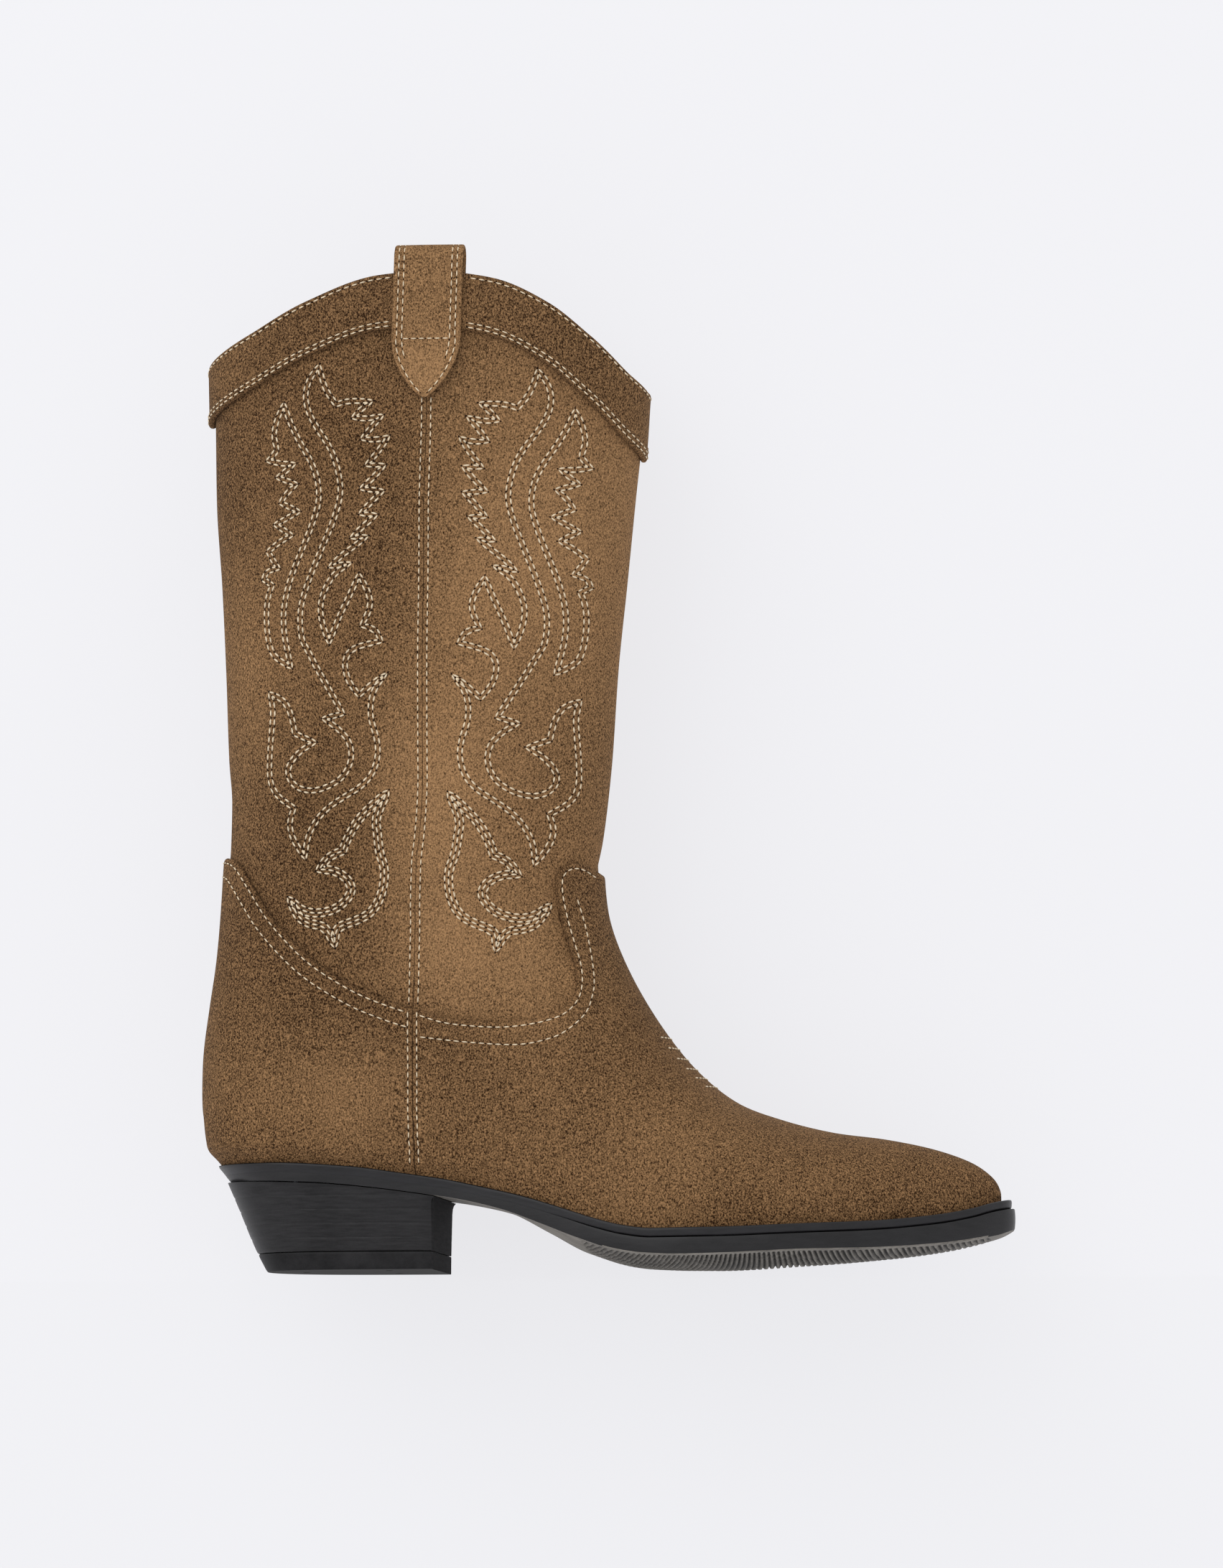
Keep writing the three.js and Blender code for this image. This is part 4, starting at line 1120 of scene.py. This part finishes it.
class BOOT_OT_embroidery(bpy.types.Operator):
    """Scrolling embroidery on both sides of the shaft"""

    bl_idname = "boot.embroidery"
    bl_label = "Embroidery"

    def execute(self, context):
        gap = sizes().row_gap / MM
        double, triple = (-gap / 2, gap / 2), (-0.86 * gap, 0, 0.86 * gap)
        for name, side in SIDES.items():
            paths = []
            for front in (False, True):
                for motif, moves in ((SCROLL, double), (LEAF, double), (HOOK, triple)):
                    paths += motif_paths(motif, moves, front, side)
            stitches(f"embroidery_{name}", paths, width=0.7)
        return {"FINISHED"}


# the vamp's inner row in side view, and the heights of the instep's short rows
VAMP_INNER = [
    (80.5, 129), (83.5, 119), (86, 108), (87.2, 100), (87, 95), (85, 88), (79, 82), (73, 79), (62, 77),
    (45, 78), (27, 80.2)]
INSTEP_HEIGHTS = (79.4, 75.6, 71.8, 68.2, 64.9, 61.8)


def edge_row(line, inset, keep, side):
    """A row of stitches inset from a cut edge, where keep(x) is true."""
    dense = Spline(line)(np.linspace(0, 1, 160))
    moved = offset_line(dense[keep(dense[:, 0])], -inset)
    return on_shell(moved[:, 0], moved[:, 1], COVER, side)


class BOOT_OT_seam_stitching(bpy.types.Operator):
    """Rows along the side seams, the vamp, the counter and the collar, and the instep's short rows"""

    bl_idname = "boot.seam_stitching"
    bl_label = "Seam stitching"

    def execute(self, context):
        seams, edges, collar, rows = [], [], [], []
        for side in SIDES.values():
            seams += self.seam_rows(side)
            edges.append(edge_row(VAMP_LINE, 1.9, lambda x: x > 26.9, side))
            edges.append(edge_row(COUNTER_LINE, 1.9, lambda x: x < 23.0, side))
            inner = Spline(VAMP_INNER)(np.linspace(0, 1, 10 * len(VAMP_INNER)))
            edges.append(on_shell(inner[:, 0], inner[:, 1], COVER, side))
            edges.append(edge_row(COUNTER_LINE, 6.8, lambda x: x < 25.5, side))
        stitches("side_seam_rows", seams)
        stitches("vamp_and_counter_rows", edges)
        # round the collar, up to the pull strap from the back and on from it to the front
        for low, high in ((1, 83.8), (103.4, 179)):
            for side in SIDES.values():
                theta = np.radians(np.linspace(low, high, 90)) * side
                foot, top = band_foot(theta), np.full_like(theta, TOP - 1.6 / BAND)
                for level, off in ((foot + 0.9 / BAND, 2.5), (foot + 2.4 / BAND, 2.5), (top, COVER)):
                    collar.append((shell(theta, level, off), outward(theta, level)))
        stitches("collar_rows", collar, offset=0.1)
        share = np.linspace(0, 1, 200)
        for z in INSTEP_HEIGHTS:
            # across the ridge, on the row of the skin that has that height there
            theta = np.linspace(math.radians(166), math.radians(194), 20)
            level = np.full_like(theta, np.interp(z, FRONT(share)[:, 1], share * ANKLE))
            rows.append((shell(theta, level, COVER), outward(theta, level)))
        stitches("instep_rows", rows, width=0.7)
        return {"FINISHED"}

    def seam_rows(self, side):
        """Two rows along the side seam, on the covers and above them on the shaft."""
        half = sizes().seam_gap / MM / 2
        lowest, highest = 36, 304
        paths = []
        for low, high, off in ((0.6, 10.05, COVER), (10.2, 19.55, 0.0)):
            row = np.linspace(low, high, 60)
            p = skin(np.radians(seam_angle(row)), row)
            p = p[(p[:, 2] < highest) & (p[:, 2] > lowest)]
            for move in (-half, half):
                paths.append(on_shell(p[:, 0] + move, p[:, 2], off, side))
        return paths


class BOOT_OT_strap_stitching(bpy.types.Operator):
    """Double rows along the pull straps and the row across them"""

    bl_idname = "boot.strap_stitching"
    bl_label = "Strap stitching"

    def execute(self, context):
        paths = []
        middle, across = STRAP_LENGTH / 2, 20.5
        for side in SIDES.values():
            for start, stop, inset in ((21, middle, 1.9), (14, middle, 3.7), (1.5, 21, 1.6)):
                for edge in (-1, 1):
                    along = np.linspace(start, stop, 60)
                    half = STRAP_HALF(np.minimum(along, 60))
                    q = edge * np.maximum(1 - inset / half, 0.02)
                    paths.append(self.path(side, along, q))
            q = np.linspace(-1, 1, 20) * (1 - 3.7 / STRAP_HALF(20.0))
            paths.append(self.path(side, np.full_like(q, across), q))
        stitches("pull_strap_rows", paths, offset=0.1, width=0.5)
        return {"FINISHED"}

    def path(self, side, along, q):
        p = strap_point(side, along, q, LEATHER)
        return p, p - strap_point(side, along, q, 0.0)


class BOOT_OT_hidden_parts(bpy.types.Operator):
    """Finishes of the pieces inside the boot, which keep their CAD shape"""

    bl_idname = "boot.hidden_parts"
    bl_label = "Inner pieces"

    def execute(self, context):
        looks = {
            "side_seam_tape": "seam_tape", "toe_puff": "stiffener_board", "heel_stiffener": "stiffener_board",
            "insole_board": "insole_fibreboard", "footbed": "sock_leather", "bottom_filler": "cork_filler",
            "steel_shank": "shank_steel", "shank_rivet": "shank_steel", "heel_nail": "shank_steel",
            "heel_screw": "shank_steel", "top_lift_nail": "nail_brass",
        }
        for name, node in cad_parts.items():
            look = next((v for k, v in looks.items() if name.startswith(k)), None)
            if look:
                for slot in node.material_slots:
                    slot.material = finish_of(look)
        return {"FINISHED"}


# ---- stage ----
def one_sided(name, pale, glow, see_through):
    """A pale matt surface that is clear from behind, and lets the lamps through where see_through is true."""
    n = Nodes(
        name, Roughness=0.9, Specular_IOR_Level=0.05, Emission_Color=(0.97, 0.97, 1.0, 1),
        Emission_Strength=glow)
    cloud = n.noise(3, 2.0)
    grain = n.noise(500, 2.0)
    mask = n.clamp(0.5 + (cloud - 0.5) * 0.3 + (grain - 0.5) * 0.25)
    n.finish(Base_Color=n.blend(mask, darker(pale, 0.985), pale))
    back = n.add("ShaderNodeNewGeometry", out="Backfacing")
    if see_through:
        back = n.clamp(back + n.add("ShaderNodeLightPath", out="Is Shadow Ray"))
    clear = n.add("ShaderNodeBsdfTransparent")
    mixed = n.add("ShaderNodeMixShader", {}, {0: back, 1: Value(n, n.shader.outputs[0]), 2: clear})
    n.tree.links.new(mixed.socket, n.tree.nodes["Material Output"].inputs[0])
    return n.material


def panel_of(name, corner, across, up, *look):
    """A flat piece of the stage, from a corner and the two sides there, in millimetres."""
    bm = bmesh.new()
    verts, i, j = grid(bm, 1, 1)
    put(verts, corner + i[:, None] * np.array(across) + j[:, None] * np.array(up))
    piece = linked(name, as_mesh(name, bm))
    piece.data.materials.append(one_sided(name, *look))


class BOOT_OT_stage(bpy.types.Operator):
    """Pale floor and backdrop, soft light and the camera"""

    bl_idname = "boot.stage"
    bl_label = "Stage"

    def execute(self, context):
        scene = context.scene
        scene.view_settings.view_transform = "Standard"
        behind = CAD_BOX[1][1] / MM + 12
        panel_of("floor", (-2000, -2000, -0.5), (4000, 0, 0), (0, 4000, 0), (0.46, 0.459, 0.476), 0.45, True)
        panel_of("backdrop", (-2000, behind, -1500), (4000, 0, 0), (0, 0, 3500),
                 (0.16, 0.16, 0.164), 0.765, False)
        world = bpy.data.worlds.new("studio")
        world.use_nodes = True
        sky = world.node_tree.nodes["Background"].inputs
        sky["Color"].default_value, sky["Strength"].default_value = (0.97, 0.975, 1.0, 1), 0.78
        scene.world = world
        light = bpy.data.lights.new("key", "AREA")
        light.energy, light.size = 14.0, 2.0
        self.aimed(light, (-0.9, -1.5, 1.4), (0.09, 0, 0.17))
        camera = bpy.data.cameras.new("camera")
        camera.sensor_fit, camera.sensor_height, camera.lens = "VERTICAL", 36.0, 200.26
        camera.clip_start, camera.clip_end = 0.05, 30
        scene.camera = self.aimed(camera, (0.4587, -3.0217, -0.1233), (0.0905, 0.0, 0.1706))
        return {"FINISHED"}

    def aimed(self, data, place, target):
        """Puts a lamp or a camera in its place, turned to its target."""
        thing = linked(data.name, data)
        thing.location = place
        thing.rotation_euler = (Vector(target) - thing.location).to_track_quat("-Z", "Y").to_euler()
        return thing


OPERATORS = (
    BOOT_OT_stage, BOOT_OT_shaft, BOOT_OT_foot, BOOT_OT_collar, BOOT_OT_linings, BOOT_OT_pull_straps,
    BOOT_OT_welt, BOOT_OT_outsole, BOOT_OT_heel, BOOT_OT_embroidery, BOOT_OT_seam_stitching,
    BOOT_OT_strap_stitching, BOOT_OT_hidden_parts)


class BOOT_PT_panel(bpy.types.Panel):
    """Sizes, colours and pieces of the boot"""

    bl_label = "Western boot"
    bl_idname = "BOOT_PT_panel"
    bl_space_type = "VIEW_3D"
    bl_region_type = "UI"
    bl_category = "Boot"

    def draw(self, context):
        for group in (context.scene.boot_sizes, context.scene.boot_colours):
            box = self.layout.box()
            for name in group.__annotations__:
                box.prop(group, name)
        for operator in OPERATORS:
            self.layout.operator(operator.bl_idname)


CLASSES = (BootSizes, BootColours, *OPERATORS, BOOT_PT_panel)


def register():
    for cls in CLASSES:
        bpy.utils.register_class(cls)
    bpy.types.Scene.boot_sizes = PointerProperty(type=BootSizes)
    bpy.types.Scene.boot_colours = PointerProperty(type=BootColours)


def unregister():
    del bpy.types.Scene.boot_colours
    del bpy.types.Scene.boot_sizes
    for cls in reversed(CLASSES):
        bpy.utils.unregister_class(cls)


def main():
    register()
    for operator in OPERATORS:
        group, name = operator.bl_idname.split(".")
        getattr(getattr(bpy.ops, group), name)()
    bpy.context.view_layer.update()


if __name__ == "__main__":
    main()
